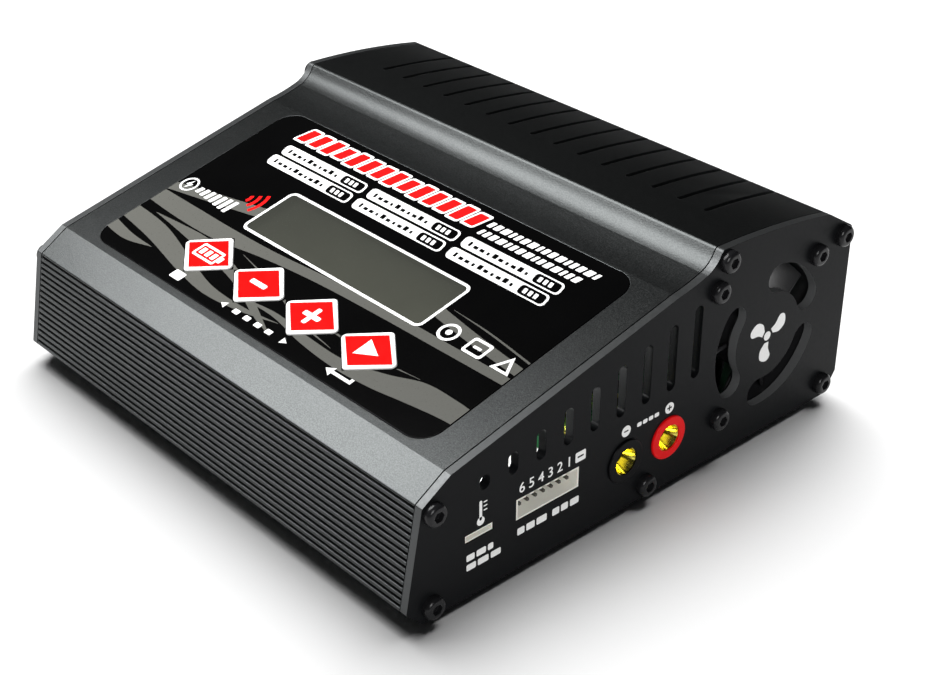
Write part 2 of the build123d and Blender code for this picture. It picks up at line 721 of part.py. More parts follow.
def display_bezel():
    """Folded sheet frame around the display glass."""
    inner_size = [size - 2 * BEZEL_WALL for size in BEZEL_SIZE]
    shell = display_layer(BEZEL_SIZE, LCD_BEZEL_TOP, LCD_BOARD_TOP)
    shell -= display_layer(inner_size, LCD_BEZEL_TOP + BEZEL_WALL, LCD_BOARD_TOP)
    return shell - display_layer(BEZEL_OPENING, LCD_BEZEL_TOP, LCD_BEZEL_TOP + BEZEL_WALL)


def display_glass():
    top = LCD_BEZEL_TOP + BEZEL_WALL
    return display_layer(GLASS_SIZE, top, top + GLASS_T)


def display_backlight():
    return display_layer(BACKLIGHT_SIZE, LCD_BEZEL_TOP + BEZEL_WALL + GLASS_T, LCD_BOARD_TOP)


def display_board():
    sheet = Pos(*DISPLAY_CENTRE) * Rectangle(*DISPLAY_BOARD_SIZE)
    for point in panel_hole_points():
        sheet -= disc(point, PANEL_HOLE_R)
    return under_slope(sheet, LCD_BOARD_TOP, LCD_BOARD_TOP + BOARD_T)


def control_board():
    sheet = Pos(*CONTROL_BOARD_CENTRE) * Rectangle(*CONTROL_BOARD_SIZE)
    for point in panel_hole_points():
        sheet -= disc(point, PANEL_HOLE_R)
    return under_slope(sheet, CONTROL_BOARD_TOP, CONTROL_BOARD_TOP + BOARD_T)


def panel_standoffs():
    """Threaded studs pressed into the case wall, down to the display board."""
    studs = []
    for point in panel_hole_points():
        sleeve = under_slope(ring(point, STUD_OUTER_R, STUD_R), WALL, LCD_BOARD_TOP)
        studs.append(sleeve + under_slope(ring(point, STUD_R, STUD_BORE_R), WALL - STUD_SEAT, WALL))
    return studs


def panel_spacers():
    top = LCD_BOARD_TOP + BOARD_T
    points = panel_hole_points()
    return [under_slope(ring(point, SPACER_R, PANEL_HOLE_R), top, CONTROL_BOARD_TOP) for point in points]


def panel_screws():
    """Screws from behind, through both boards into the studs."""
    seat = CONTROL_BOARD_TOP + BOARD_T
    head_r, head_h = PANEL_SCREW_HEAD
    screws = []
    for point in panel_hole_points():
        shank = under_slope(disc(point, PANEL_SCREW_R), PANEL_SCREW_TIP, seat)
        screws.append(shank + under_slope(disc(point, head_r), seat, seat + head_h))
    return screws


def ribbon_cable():
    """Flat cable from the control board's upper edge down to the main board."""
    start = panel.offset(-CONTROL_BOARD_TOP - BOARD_T).from_local_coords(Vector(0, CABLE_S, 0))
    path = Spline(
        (start.Y, start.Z),
        (start.Y + CABLE_BULGE, (start.Z + MAIN_BOARD_TOP) / 2),
        (start.Y, MAIN_BOARD_TOP),
        tangents=((0.5, -0.85), (-0.5, -0.85)),
    )
    strip = prism(trace(path, CABLE_T), *CABLE_X)
    around_y = (start.Y - 2 * CABLE_BULGE, start.Y + 2 * CABLE_BULGE)
    return strip & box(CABLE_X, around_y, (MAIN_BOARD_TOP, start.Z - CABLE_CLEARANCE))


# ---------------------------------------------------------------- fan
def fan_frame():
    """Square frame with a ducted bore and an ear, and three struts that carry the motor seat."""
    square = Pos(*FAN_CENTRE) * RectangleRounded(FAN_SIDE, FAN_SIDE, FAN_CORNER)
    square += disc(FAN_EAR, FAN_EAR_R)
    square += make_hull([*disc(FAN_EAR, FAN_EAR_R).edges(), *disc(fan_corner(-1, 1), FAN_EAR_R).edges()])
    for point in (*fan_screw_points(), fan_corner(1, -1)):
        square -= disc(point, SCREW_HOLE_R)
    frame = prism(square - disc(FAN_CENTRE, FAN_BORE_R), FAN_X, CASE_X)
    seat = disc(FAN_CENTRE, FAN_HUB_R)
    reach = FAN_BORE_R + STRUT_W / 2
    for i in range(FAN_STRUTS):
        turn = Rot(0, 0, STRUT_FIRST_ANGLE + i * 360 / FAN_STRUTS)
        seat += Pos(*FAN_CENTRE) * turn * Pos(reach / 2, 0) * Rectangle(reach, STRUT_W)
    frame += prism(seat - disc(FAN_CENTRE, BEARING_R), FAN_X, FAN_X + MOTOR_SEAT_T)
    tube = ring(FAN_CENTRE, BEARING_TUBE_R, BEARING_R)
    return frame + prism(tube, FAN_X + MOTOR_SEAT_T, FAN_X + BEARING_END)


def fan_bearing():
    return prism(ring(FAN_CENTRE, BEARING_R, BEARING_BORE_R), FAN_X + MOTOR_SEAT_T / 2, FAN_X + BEARING_END)


def pole_angle(i):
    return (i + 0.5) * 360 / POLES


def fan_stator():
    """Four-pole laminated core on the bearing tube."""
    core = ring(FAN_CENTRE, STATOR_R, BEARING_TUBE_R)
    for i in range(POLES):
        turn = Pos(*FAN_CENTRE) * Rot(0, 0, pole_angle(i))
        for radius, length, width in (POLE_NECK, POLE_SHOE):
            core += turn * Pos(radius, 0) * Rectangle(length, width)
    return prism(core, FAN_X + STATOR_X[0], FAN_X + STATOR_X[1])


def fan_coils():
    """A winding around each pole."""
    x = FAN_X + sum(STATOR_X) / 2
    coils = []
    for i in range(POLES):
        angle = radians(pole_angle(i))
        y, z = FAN_CENTRE
        place = Pos(x, y + COIL_R * cos(angle), z + COIL_R * sin(angle)) * Rot(pole_angle(i), 0, 0)
        coils.append(place * (Box(*COIL_OUTER) - Box(*COIL_INNER)))
    return coils


def blade_section(distance, pitch, thickness, corner):
    """Rounded section of a blade at a distance from the axis, turned by its pitch angle."""
    section_plane = Plane(origin=(0, 0, distance), x_dir=(1, 0, 0), z_dir=(0, 0, 1))
    return (section_plane * Rot(0, 0, pitch) * RectangleRounded(BLADE_CHORD, thickness, corner)).face()


def fan_rotor():
    """Cup over the stator, with seven pitched blades that clear the bore."""
    cup = prism(disc(FAN_CENTRE, FAN_HUB_R), FAN_X + CUP_X[0], FAN_X + CUP_X[1])
    cup -= prism(disc(FAN_CENTRE, MAGNET_R[1]), FAN_X + CUP_X[0], FAN_X + MAGNET_X[1])
    outer_edge = cup.edges().filter_by(GeomType.CIRCLE).sort_by(Axis.X)[-1]
    rotor = fillet(outer_edge, CUP_ROUND)
    root = blade_section(FAN_HUB_R - BLADE_ROOT_SINK, *BLADE_ROOT)
    tip = blade_section(FAN_BLADE_R, *BLADE_TIP)
    blade = Pos(FAN_X + sum(CUP_X) / 2, 0, 0) * loft([root, tip])
    for i in range(FAN_BLADES):
        rotor += Pos(0, *FAN_CENTRE) * Rot(i * 360 / FAN_BLADES, 0, 0) * blade
    swept = prism(disc(FAN_CENTRE, FAN_BLADE_R), FAN_X + CUP_X[0] - FIT_GAP, FAN_X + CUP_X[1] + FIT_GAP)
    return rotor & swept


def fan_magnet():
    return prism(ring(FAN_CENTRE, MAGNET_R[1], MAGNET_R[0]), FAN_X + MAGNET_X[0], FAN_X + MAGNET_X[1])


def fan_shaft():
    return prism(disc(FAN_CENTRE, SHAFT_R), FAN_X + SHAFT_START, FAN_X + MAGNET_X[1])


def fan_lead():
    """Pair of thin wires from the motor seat down to the main board."""
    leads = []
    for side in (-1, 1):
        y = FAN_CENTRE[0] + side * FAN_LEAD_SHIFT
        z = FAN_CENTRE[1]
        points = [
            (FAN_X - 0.8, y - 12.0, z - 8.0),
            (FAN_X - 5.0, y - 17.0, z - 10.0),
            (FAN_X - 12.0, y - 24.0, MAIN_BOARD_TOP + 3.0),
            (FAN_X - 17.0, y - 24.0, MAIN_BOARD_TOP),
        ]
        leads.append(wire(points, FAN_LEAD_R, (-1, 0, 0)))
    return leads


# ---------------------------------------------------------------- right-hand ports
def balance_header():
    """Side-entry header: a box open at the plate, with keying gaps in its upper wall."""
    wide, high = BALANCE_SIZE
    side_wall, level_wall = BALANCE_WALLS
    back = BALANCE_MOUTH - BALANCE_DEPTH
    inside = Pos(*BALANCE_PORT) * Rectangle(wide - 2 * side_wall, high - 2 * level_wall)
    shell = prism(Pos(*BALANCE_PORT) * Rectangle(wide, high), back, BALANCE_MOUTH)
    shell -= prism(inside, back + BALANCE_BACK_T, BALANCE_MOUTH)
    gap_w, gap_l = BALANCE_KEYING
    top = BALANCE_PORT[1] + high / 2
    for i in range(BALANCE_PINS - 1):
        y = BALANCE_PORT[0] + (i - BALANCE_PINS / 2 + 1) * BALANCE_PIN_PITCH
        gap_x = (BALANCE_MOUTH - gap_l, BALANCE_MOUTH + CUT)
        shell -= box(gap_x, (y - gap_w / 2, y + gap_w / 2), (top - 2 * level_wall, top + CUT))
    for y in balance_pin_positions():
        shell -= pin((back - CUT, back + BALANCE_BACK_T + CUT), (y, BALANCE_PORT[1]), PIN_HOLE_SIDE)
    return shell


def balance_pin_positions():
    middle = (BALANCE_PINS - 1) / 2
    return [BALANCE_PORT[0] + (i - middle) * BALANCE_PIN_PITCH for i in range(BALANCE_PINS)]


def bent_pin(y, z, back, tip):
    """Square pin that runs out of a housing's back and turns down through the balance board."""
    start = back - PIN_OUT
    level = pin((start, tip), (y, z), PIN_SIDE)
    half = PIN_SIDE / 2
    low = BALANCE_BOARD_TOP - BOARD_T - PIN_BELOW_BOARD
    return level + box((start, start + PIN_SIDE), (y - half, y + half), (low, z + half))


def balance_pins():
    back = BALANCE_MOUTH - BALANCE_DEPTH
    return [bent_pin(y, BALANCE_PORT[1], back, BALANCE_PIN_TIP) for y in balance_pin_positions()]


def sensor_pin_positions():
    middle = (SENSOR_PINS - 1) / 2
    return [SENSOR_PORT[0] + (i - middle) * SENSOR_PIN_PITCH for i in range(SENSOR_PINS)]


def sensor_socket():
    """Low three-way housing that fills its slit in the plate and stands on the balance board."""
    wide, high = SENSOR_SIZE
    y, z = SENSOR_PORT
    back = SENSOR_MOUTH - SENSOR_DEPTH
    shell = prism(Pos(*SENSOR_PORT) * Rectangle(wide, high), back, SENSOR_MOUTH)
    shell += box((back, CASE_X - FIT_GAP), (y - wide / 2, y + wide / 2), (BALANCE_BOARD_TOP, z))
    inside = Pos(*SENSOR_PORT) * Rectangle(wide - 2 * SENSOR_WALL, high - 2 * SENSOR_WALL)
    shell -= prism(inside, back + SENSOR_BACK_T, SENSOR_MOUTH)
    for pin_y in sensor_pin_positions():
        shell -= pin((back - CUT, back + SENSOR_BACK_T + CUT), (pin_y, z), PIN_HOLE_SIDE)
    return shell


def sensor_pins():
    back = SENSOR_MOUTH - SENSOR_DEPTH
    return [bent_pin(y, SENSOR_PORT[1], back, SENSOR_PIN_TIP) for y in sensor_pin_positions()]


def balance_board():
    """Board behind the small ports, with holes for their pins and for its own screws."""
    pin_shift = PIN_OUT - PIN_SIDE / 2
    points = [(BALANCE_MOUTH - BALANCE_DEPTH - pin_shift, y) for y in balance_pin_positions()]
    points += [(SENSOR_MOUTH - SENSOR_DEPTH - pin_shift, y) for y in sensor_pin_positions()]
    holes = [disc(point, PIN_BOARD_HOLE_R) for point in points]
    holes += [disc(point, SCREW_CLEAR_R) for point in balance_standoff_points()]
    board = box(BALANCE_BOARD_X, BALANCE_BOARD_Y, (BALANCE_BOARD_TOP - BOARD_T, BALANCE_BOARD_TOP))
    for hole in holes:
        board -= upright(hole, BALANCE_BOARD_TOP - BOARD_T, BALANCE_BOARD_TOP)
    return board


def balance_standoff_points():
    inset_x, inset_y = BALANCE_STANDOFF_INSET
    x = BALANCE_BOARD_X[0] + inset_x
    return [(x, BALANCE_BOARD_Y[0] + inset_y), (x, BALANCE_BOARD_Y[1] - inset_y)]


def socket_bush(point):
    """Insulating bush: a flange on the plate's outer face and a sleeve through the plate."""
    flange = prism(disc(point, SOCKET_FLANGE_R), PLATE_X, PLATE_X + SOCKET_PROUD)
    outer_edge = flange.edges().filter_by(GeomType.CIRCLE).sort_by(Axis.X)[-1]
    flange = fillet(outer_edge, SOCKET_FLANGE_ROUND)
    sleeve_end = PLATE_X - SOCKET_SLEEVE_L
    bush = flange + prism(disc(point, SOCKET_BODY_R), sleeve_end, PLATE_X)
    return bush - prism(disc(point, SOCKET_MOUTH_R + SOCKET_FIT), sleeve_end - CUT, PLATE_X + CUT)


def socket_contact(point):
    """Brass contact with a funnel mouth, a 4 mm bore and a solder tail."""
    bore_start = SOCKET_FACE - SOCKET_MOUTH_DEPTH
    bore_end = bore_start - SOCKET_BORE_DEPTH
    body_end = bore_end - SOCKET_END_T
    contact = prism(disc(point, SOCKET_MOUTH_R), body_end, SOCKET_FACE)
    funnel = standing_cone(SOCKET_BORE_R, SOCKET_MOUTH_R - SOCKET_LIP, SOCKET_MOUTH_DEPTH)
    contact -= Pos(bore_start, *point) * Rot(0, 90, 0) * funnel
    contact -= prism(disc(point, SOCKET_BORE_R), bore_end, bore_start)
    return contact + prism(disc(point, SOCKET_TAIL_R), body_end - SOCKET_TAIL_L, body_end)


def socket_nuts():
    rings = [ring(point, NUT_R, SOCKET_BODY_R + SOCKET_FIT) for point in (OUTPUT_NEGATIVE, OUTPUT_POSITIVE)]
    return [prism(nut, CASE_X - NUT_T, CASE_X) for nut in rings]


def output_wire(point, board_y):
    """Heavy silicone wire from a contact's tail to the main board."""
    tail = SOCKET_FACE - SOCKET_MOUTH_DEPTH - SOCKET_BORE_DEPTH - SOCKET_END_T - SOCKET_TAIL_L
    y, z = point
    points = [
        (tail, y, z),
        (tail - 6.0, y, z),
        (tail - 14.0, board_y, z - 1.0),
        (tail - 17.0, board_y, MAIN_BOARD_TOP),
    ]
    return wire(points, WIRE_R, (-1, 0, 0))


# ---------------------------------------------------------------- left-hand ports
def input_block(size, corner, x_from, x_to):
    """Rounded block around the input port, between two stations."""
    return prism(Pos(*INPUT_PORT) * RectangleRounded(*size, corner), x_from, x_to)


def input_socket():
    """Two-pole input housing with a flange on the plate's outer face."""
    wide, high = INPUT_SIZE
    flange_x = -PLATE_X - INPUT_FLANGE_T
    flange_size = (INPUT_SCREW_PITCH + INPUT_FLANGE_GROW[0], high + INPUT_FLANGE_GROW[1])
    flange = input_block(flange_size, INPUT_FLANGE_CORNER, flange_x, -PLATE_X)
    flange = fillet(flange.faces().sort_by(Axis.X)[0].outer_wire().edges(), INPUT_FLANGE_ROUND)
    housing = flange + input_block(INPUT_SIZE, INPUT_CORNER, -PLATE_X, -PLATE_X + INPUT_BODY_L)
    cavity_size = (wide - INPUT_CAVITY_WALL[0], high - INPUT_CAVITY_WALL[1])
    cavity_end = -PLATE_X + INPUT_CAVITY_L
    housing -= input_block(cavity_size, INPUT_CAVITY_CORNER, flange_x - CUT, cavity_end)
    for point in input_screw_points():
        housing -= prism(disc(point, INPUT_SCREW_CLEAR_R), flange_x - CUT, -PLATE_X)
    body_end = -PLATE_X + INPUT_BODY_L
    for point in input_pin_points():
        housing -= prism(disc(point, INPUT_SHANK_R + SOCKET_FIT), cavity_end - CUT, body_end + CUT)
    return housing


def input_pin_points():
    return [(INPUT_PORT[0] + side * INPUT_PIN_PITCH / 2, INPUT_PORT[1]) for side in (-1, 1)]


def input_contacts():
    """Round pins with a rounded tip; a thinner shank runs on through the housing's rear wall."""
    pins = []
    for point in input_pin_points():
        thick = prism(disc(point, INPUT_PIN_R), INPUT_PIN_TIP, INPUT_PIN_STEP)
        tip_edge = thick.edges().filter_by(GeomType.CIRCLE).sort_by(Axis.X)[0]
        thick = fillet(tip_edge, INPUT_PIN_ROUND)
        pins.append(thick + prism(disc(point, INPUT_SHANK_R), INPUT_PIN_STEP, INPUT_SHANK_END))
    return pins


def input_screws():
    screw = Rot(0, -90, 0) * pan_screw(*INPUT_SCREW_HEAD, INPUT_SCREW_R, INPUT_SCREW_L)
    return [Pos(-PLATE_X - INPUT_FLANGE_T, y, z) * screw for y, z in input_screw_points()]


def input_wire(point, board_y):
    """Heavy silicone wire from an input pin's shank to the main board."""
    y, z = point
    points = [
        (INPUT_SHANK_END, y, z),
        (INPUT_SHANK_END + 5.0, y, z - 0.4),
        (INPUT_SHANK_END + 12.0, board_y, z - 4.0),
        (INPUT_SHANK_END + 15.0, board_y, MAIN_BOARD_TOP),
    ]
    return wire(points, WIRE_R, (1, 0, 0))


def usb_shell():
    """Folded metal shell of the small USB socket, on the main board's left edge."""
    wide, high = USB_SIZE
    outer = Pos(*USB_PORT) * RectangleRounded(wide, high, USB_CORNER)
    inner = Pos(*USB_PORT) * RectangleRounded(wide - 2 * USB_SHEET, high - 2 * USB_SHEET, USB_CORNER / 2)
    return prism(outer - inner, *USB_X) + prism(outer, USB_X[1], USB_X[1] + USB_BACK_T)


def usb_tongue():
    y, z = USB_PORT
    tongue_z = (z + USB_TONGUE_Z[0], z + USB_TONGUE_Z[1])
    return box((USB_TONGUE_X, USB_X[1]), (y - USB_TONGUE_W / 2, y + USB_TONGUE_W / 2), tongue_z)


# ---------------------------------------------------------------- power electronics
def main_board():
    board = box(MAIN_BOARD_X, MAIN_BOARD_Y, (MAIN_BOARD_Z, MAIN_BOARD_TOP))
    for point in STANDOFF_POINTS:
        board -= upright(disc(point, SCREW_CLEAR_R), MAIN_BOARD_Z, MAIN_BOARD_TOP)
    return board


def heat_sink():
    """Finned extrusion along X, whose thick front wall takes the transistors."""
    front, back = SINK_Y
    sink = box(SINK_X, SINK_Y, (MAIN_BOARD_TOP, MAIN_BOARD_TOP + SINK_BASE_T))
    sink += box(SINK_X, (front, front + SINK_FACE_T), (MAIN_BOARD_TOP, SINK_TOP))
    pitch = (back - front - SINK_FACE_T) / FINS
    for i in range(FINS):
        fin_end = back - i * pitch
        sink += box(SINK_X, (fin_end - FIN_T, fin_end), (MAIN_BOARD_TOP, SINK_TOP))
    thread = Rot(90, 0, 0) * Cylinder(SCREW_HOLE_R, 2 * SINK_THREAD_DEPTH)
    for x in transistor_positions():
        sink -= Pos(x, front, transistor_hole_z()) * thread
    return sink


def transistor_positions():
    middle = (TRANSISTOR_COUNT - 1) / 2
    return [sum(SINK_X) / 2 + (i - middle) * TRANSISTOR_PITCH for i in range(TRANSISTOR_COUNT)]


def transistor_hole_z():
    return MAIN_BOARD_TOP + TRANSISTOR_HOLE_UP


def power_transistors():
    """Moulded bodies with metal tabs on the heat sink, and three legs into the board."""
    face = SINK_Y[0]
    low = MAIN_BOARD_TOP + TRANSISTOR_LOW
    middle = low + TRANSISTOR_BODY_H
    hole = Rot(90, 0, 0) * Cylinder(SCREW_CLEAR_R, 4 * TAB_T)
    parts = []
    for x in transistor_positions():
        wide = (x - TRANSISTOR_HALF_W, x + TRANSISTOR_HALF_W)
        body = box(wide, (face - TRANSISTOR_T, face), (low, middle))
        body += box(wide, (face - TAB_T, face), (middle, middle + TRANSISTOR_TAB_H))
        body -= Pos(x, face, transistor_hole_z()) * hole
        for side in (-1, 0, 1):
            leg_x = x + side * LEG_PITCH
            leg = (leg_x - LEG_HALF_W, leg_x + LEG_HALF_W)
            body += box(leg, (face - LEG_Y[0], face - LEG_Y[1]), (MAIN_BOARD_TOP, low))
        parts.append(body)
    return parts


def inductor_cores():
    core = upright(Circle(CORE_R[1]) - Circle(CORE_R[0]), 0, CORE_H)
    return [Pos(x, y, MAIN_BOARD_TOP + CORE_LIFT) * core for x, y in INDUCTORS]


def inductor_windings():
    """Separate turns of enamelled wire around each core."""
    radial = CORE_R[1] - CORE_R[0]
    outer = Rectangle(radial + 2 * TURN_T, CORE_H + 2 * TURN_T)
    inner = Rectangle(radial + 2 * TURN_GAP, CORE_H + 2 * TURN_GAP)
    turn = extrude(Plane.XZ * (outer - inner), amount=TURN_HALF_W, both=True)
    turn = Pos(sum(CORE_R) / 2, 0, 0) * turn
    loops = []
    for x, y in INDUCTORS:
        place = Pos(x, y, MAIN_BOARD_TOP + CORE_LIFT + CORE_H / 2)
        for i in range(TURNS):
            loops.append(place * Rot(0, 0, (i + 0.5) * 360 / TURNS) * turn)
    return loops


def capacitors():
    can = standing_cylinder(CAPACITOR_R, CAPACITOR_H)
    can = fillet(can.edges().filter_by(GeomType.CIRCLE).sort_by(Axis.Z)[-1], CAPACITOR_ROUND)
    return [Pos(x, y, MAIN_BOARD_TOP) * can for x, y in CAPACITOR_POINTS]


def controller_chip():
    return box(CHIP_X, CHIP_Y, (MAIN_BOARD_TOP, MAIN_BOARD_TOP + CHIP_H))


def buzzer():
    """Round sounder with a hole in its top."""
    hole_r, hole_depth = BUZZER_HOLE
    hole = Pos(0, 0, BUZZER_H - hole_depth) * standing_cylinder(hole_r, hole_depth)
    return Pos(*BUZZER_POINT, MAIN_BOARD_TOP) * (standing_cylinder(BUZZER_R, BUZZER_H) - hole)


# ---------------------------------------------------------------- all the nodes
def build():
    outline = case_outline()
    save(case_extrusion(outline), "case_extrusion")
    save(right_end_plate(outline), "right_end_plate")
    save(left_end_plate(outline), "left_end_plate")
    right_screws = end_screws(PLATE_SCREWS, PLATE_X, 1, PLATE_SCREW_L)
    left_screws = end_screws(PLATE_SCREWS, -PLATE_X, -1, PLATE_SCREW_L)
    save(right_screws + left_screws, "plate_screws")
    save(end_screws(fan_screw_points(), PLATE_X, 1, FAN_SCREW_L), "fan_screws")
    save(rubber_feet(), "rubber_feet")
    save(floor_screws(), "floor_screws")

    save(panel_overlay(), "panel_overlay")
    save(display_window(), "display_window")
    key_names = ("stop", "decrease", "increase", "start")
    for name, (x, s) in zip(key_names, key_positions()):
        save(key_cap(x, s), f"{name}_key")
        save(switch_plunger(x, s), f"{name}_switch_plunger")
    save(switch_bodies(), "switch_bodies")
    save(display_bezel(), "display_bezel")
    save(display_glass(), "display_glass")
    save(display_backlight(), "display_backlight")
    save(display_board(), "display_board")
    save(control_board(), "control_board")
    save(panel_standoffs(), "panel_standoffs")
    save(panel_spacers(), "panel_spacers")
    save(panel_screws(), "panel_screws")
    save(ribbon_cable(), "ribbon_cable")

    save(fan_frame(), "fan_frame")
    save(fan_bearing(), "fan_bearing")
    save(fan_stator(), "fan_stator")
    save(fan_coils(), "fan_coils")
    save(fan_rotor(), "fan_rotor")
    save(fan_magnet(), "fan_magnet")
    save(fan_shaft(), "fan_shaft")
    save(fan_lead(), "fan_lead")

    save(balance_header(), "balance_header")
    save(sensor_socket(), "sensor_socket")
    save(balance_pins() + sensor_pins(), "header_pins")
    save(balance_board(), "balance_board")
    save(socket_bush(OUTPUT_NEGATIVE), "negative_socket_bush")
    save(socket_bush(OUTPUT_POSITIVE), "positive_socket_bush")
    save([socket_contact(OUTPUT_NEGATIVE), socket_contact(OUTPUT_POSITIVE)], "socket_contacts")
    save(socket_nuts(), "socket_nuts")

    save(input_socket(), "input_socket")
    save(input_contacts(), "input_contacts")
    save(input_screws(), "input_screws")
    front_pin, back_pin = input_pin_points()
    save([output_wire(OUTPUT_NEGATIVE, -10.0), input_wire(front_pin, 0.0)], "negative_wires")
    save([output_wire(OUTPUT_POSITIVE, 12.0), input_wire(back_pin, 16.0)], "positive_wires")
    save(usb_shell(), "usb_shell")
    save(usb_tongue(), "usb_tongue")

    save(main_board(), "main_board")
    save(board_standoffs(), "board_standoffs")
    save(board_screws(), "board_screws")
    save(heat_sink(), "heat_sink")
    save(power_transistors(), "power_transistors")
    save(inductor_cores(), "inductor_cores")
    save(inductor_windings(), "inductor_windings")
    save(capacitors(), "capacitors")
    save(controller_chip(), "controller_chip")
    save(buzzer(), "buzzer")


build()
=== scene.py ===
import json
import math

import bmesh
import bpy
from mathutils import Matrix, Vector
from mathutils.geometry import delaunay_2d_cdt


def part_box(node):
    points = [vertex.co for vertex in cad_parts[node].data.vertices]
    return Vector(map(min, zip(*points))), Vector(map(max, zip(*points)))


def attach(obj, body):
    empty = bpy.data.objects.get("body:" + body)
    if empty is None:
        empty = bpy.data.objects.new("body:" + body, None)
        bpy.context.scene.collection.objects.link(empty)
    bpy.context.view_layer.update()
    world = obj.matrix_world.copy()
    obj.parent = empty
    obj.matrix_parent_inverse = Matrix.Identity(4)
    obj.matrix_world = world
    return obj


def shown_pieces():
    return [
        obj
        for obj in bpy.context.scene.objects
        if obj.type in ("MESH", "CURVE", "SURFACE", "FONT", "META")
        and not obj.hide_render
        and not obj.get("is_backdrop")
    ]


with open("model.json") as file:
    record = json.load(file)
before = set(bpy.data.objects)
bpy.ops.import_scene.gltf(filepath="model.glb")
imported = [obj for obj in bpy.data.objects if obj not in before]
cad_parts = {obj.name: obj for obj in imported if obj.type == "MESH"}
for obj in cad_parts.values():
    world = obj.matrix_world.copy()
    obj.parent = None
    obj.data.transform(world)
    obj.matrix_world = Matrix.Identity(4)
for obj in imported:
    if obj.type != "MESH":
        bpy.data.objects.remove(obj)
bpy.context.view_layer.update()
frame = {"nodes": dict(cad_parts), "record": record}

MM = 0.001
NODES = frame["nodes"]
KEY_NAMES = ("stop", "decrease", "increase", "start")

# Printing: every mark is a thin raised solid that starts a little below its surface, in millimetres
INK_SINK = 0.02
BAND_INK = 0.03
WHITE_INK = 0.05
TOP_INK = 0.07

# Where the right plate's openings are, in millimetres; the walls of its vents and ports stay dark,
# without the lighter cut-edge colour that is partly bare metal and partly a painted highlight
GRILLE_REACH = 20.5     # from the fan's axis, just past the grille's openings
PORTS_FRONT_Y = -61.0
VENTS_BACK_Y = 21.0
VENTS_BELOW_SLOPE = -4.0
PORTS_LOW_Z = 4.5

# Colours as linear red, green and blue; a surface's cloudy colour runs from the first to the second
CASE_BLACK = ((0.036, 0.0385, 0.0385), (0.045, 0.0475, 0.0475))
CASE_SPECK = (0.076, 0.080, 0.080)
# Colour of the case's sharp edges: partly wear, partly a painted highlight
CASE_WEAR_AND_HIGHLIGHT = (0.16, 0.17, 0.175)
PLATE_BLACK = ((0.0050, 0.0054, 0.0060), (0.0066, 0.0070, 0.0078))
# Cut edges: bare metal lightened by a painted highlight; the grille's walls are lighter still, a
# painted highlight
PLATE_CUT_AND_HIGHLIGHT = (0.075, 0.078, 0.079)
GRILLE_CUT_AND_HIGHLIGHT = (0.13, 0.133, 0.135)
SCREW_BLACK = ((0.006, 0.006, 0.007), (0.014, 0.014, 0.015))
# Colour of the screws' sharp edges: partly wear, partly a painted highlight
SCREW_WEAR_AND_HIGHLIGHT = (0.08, 0.08, 0.082)
FILM_BLACK = ((0.0012, 0.0012, 0.0012), (0.0022, 0.0022, 0.0023))
# The window's and the LCD's pairs run from a painted shade in the far left corner to their unshaded
# colour
WINDOW_OLIVE = ((0.040, 0.042, 0.036), (0.070, 0.072, 0.058))
LCD_OLIVE = ((0.050, 0.053, 0.046), (0.080, 0.082, 0.067))
LCD_CELL = (0.15, 0.155, 0.13)
KEY_RED = ((0.86, 0.0012, 0.0012), (0.95, 0.0030, 0.0024))
KEY_WHITE = ((0.86, 0.86, 0.85), (0.93, 0.93, 0.92))
BRASS = ((0.90, 0.74, 0.08), (1.0, 0.92, 0.22))
NYLON = ((0.60, 0.59, 0.52), (0.72, 0.71, 0.66))
# Emission colour of the header: painted light, not a lamp
NYLON_PAINTED_LIGHT = (0.60, 0.59, 0.54)
# Cable grey: the darker end is painted shade in the grooves between cores
CABLE_GREY = ((0.24, 0.24, 0.25), (0.48, 0.48, 0.49))
COPPER = ((0.50, 0.17, 0.05), (0.74, 0.31, 0.11))
ALUMINIUM = ((0.52, 0.53, 0.55), (0.72, 0.73, 0.75))
GREEN_MASK = (0.011, 0.090, 0.034)
GREEN_TRACK = (0.030, 0.19, 0.075)
WHITE_MASK = (0.55, 0.56, 0.56)
WHITE_TRACK = (0.74, 0.75, 0.74)
INK_WHITE = (0.86, 0.86, 0.85)
INK_RED = (0.80, 0.004, 0.004)
INK_GREY = (0.090, 0.090, 0.081)
FLOOR_WHITE = (0.93, 0.93, 0.93)
STUDIO_GREY = (0.013, 0.0135, 0.014)

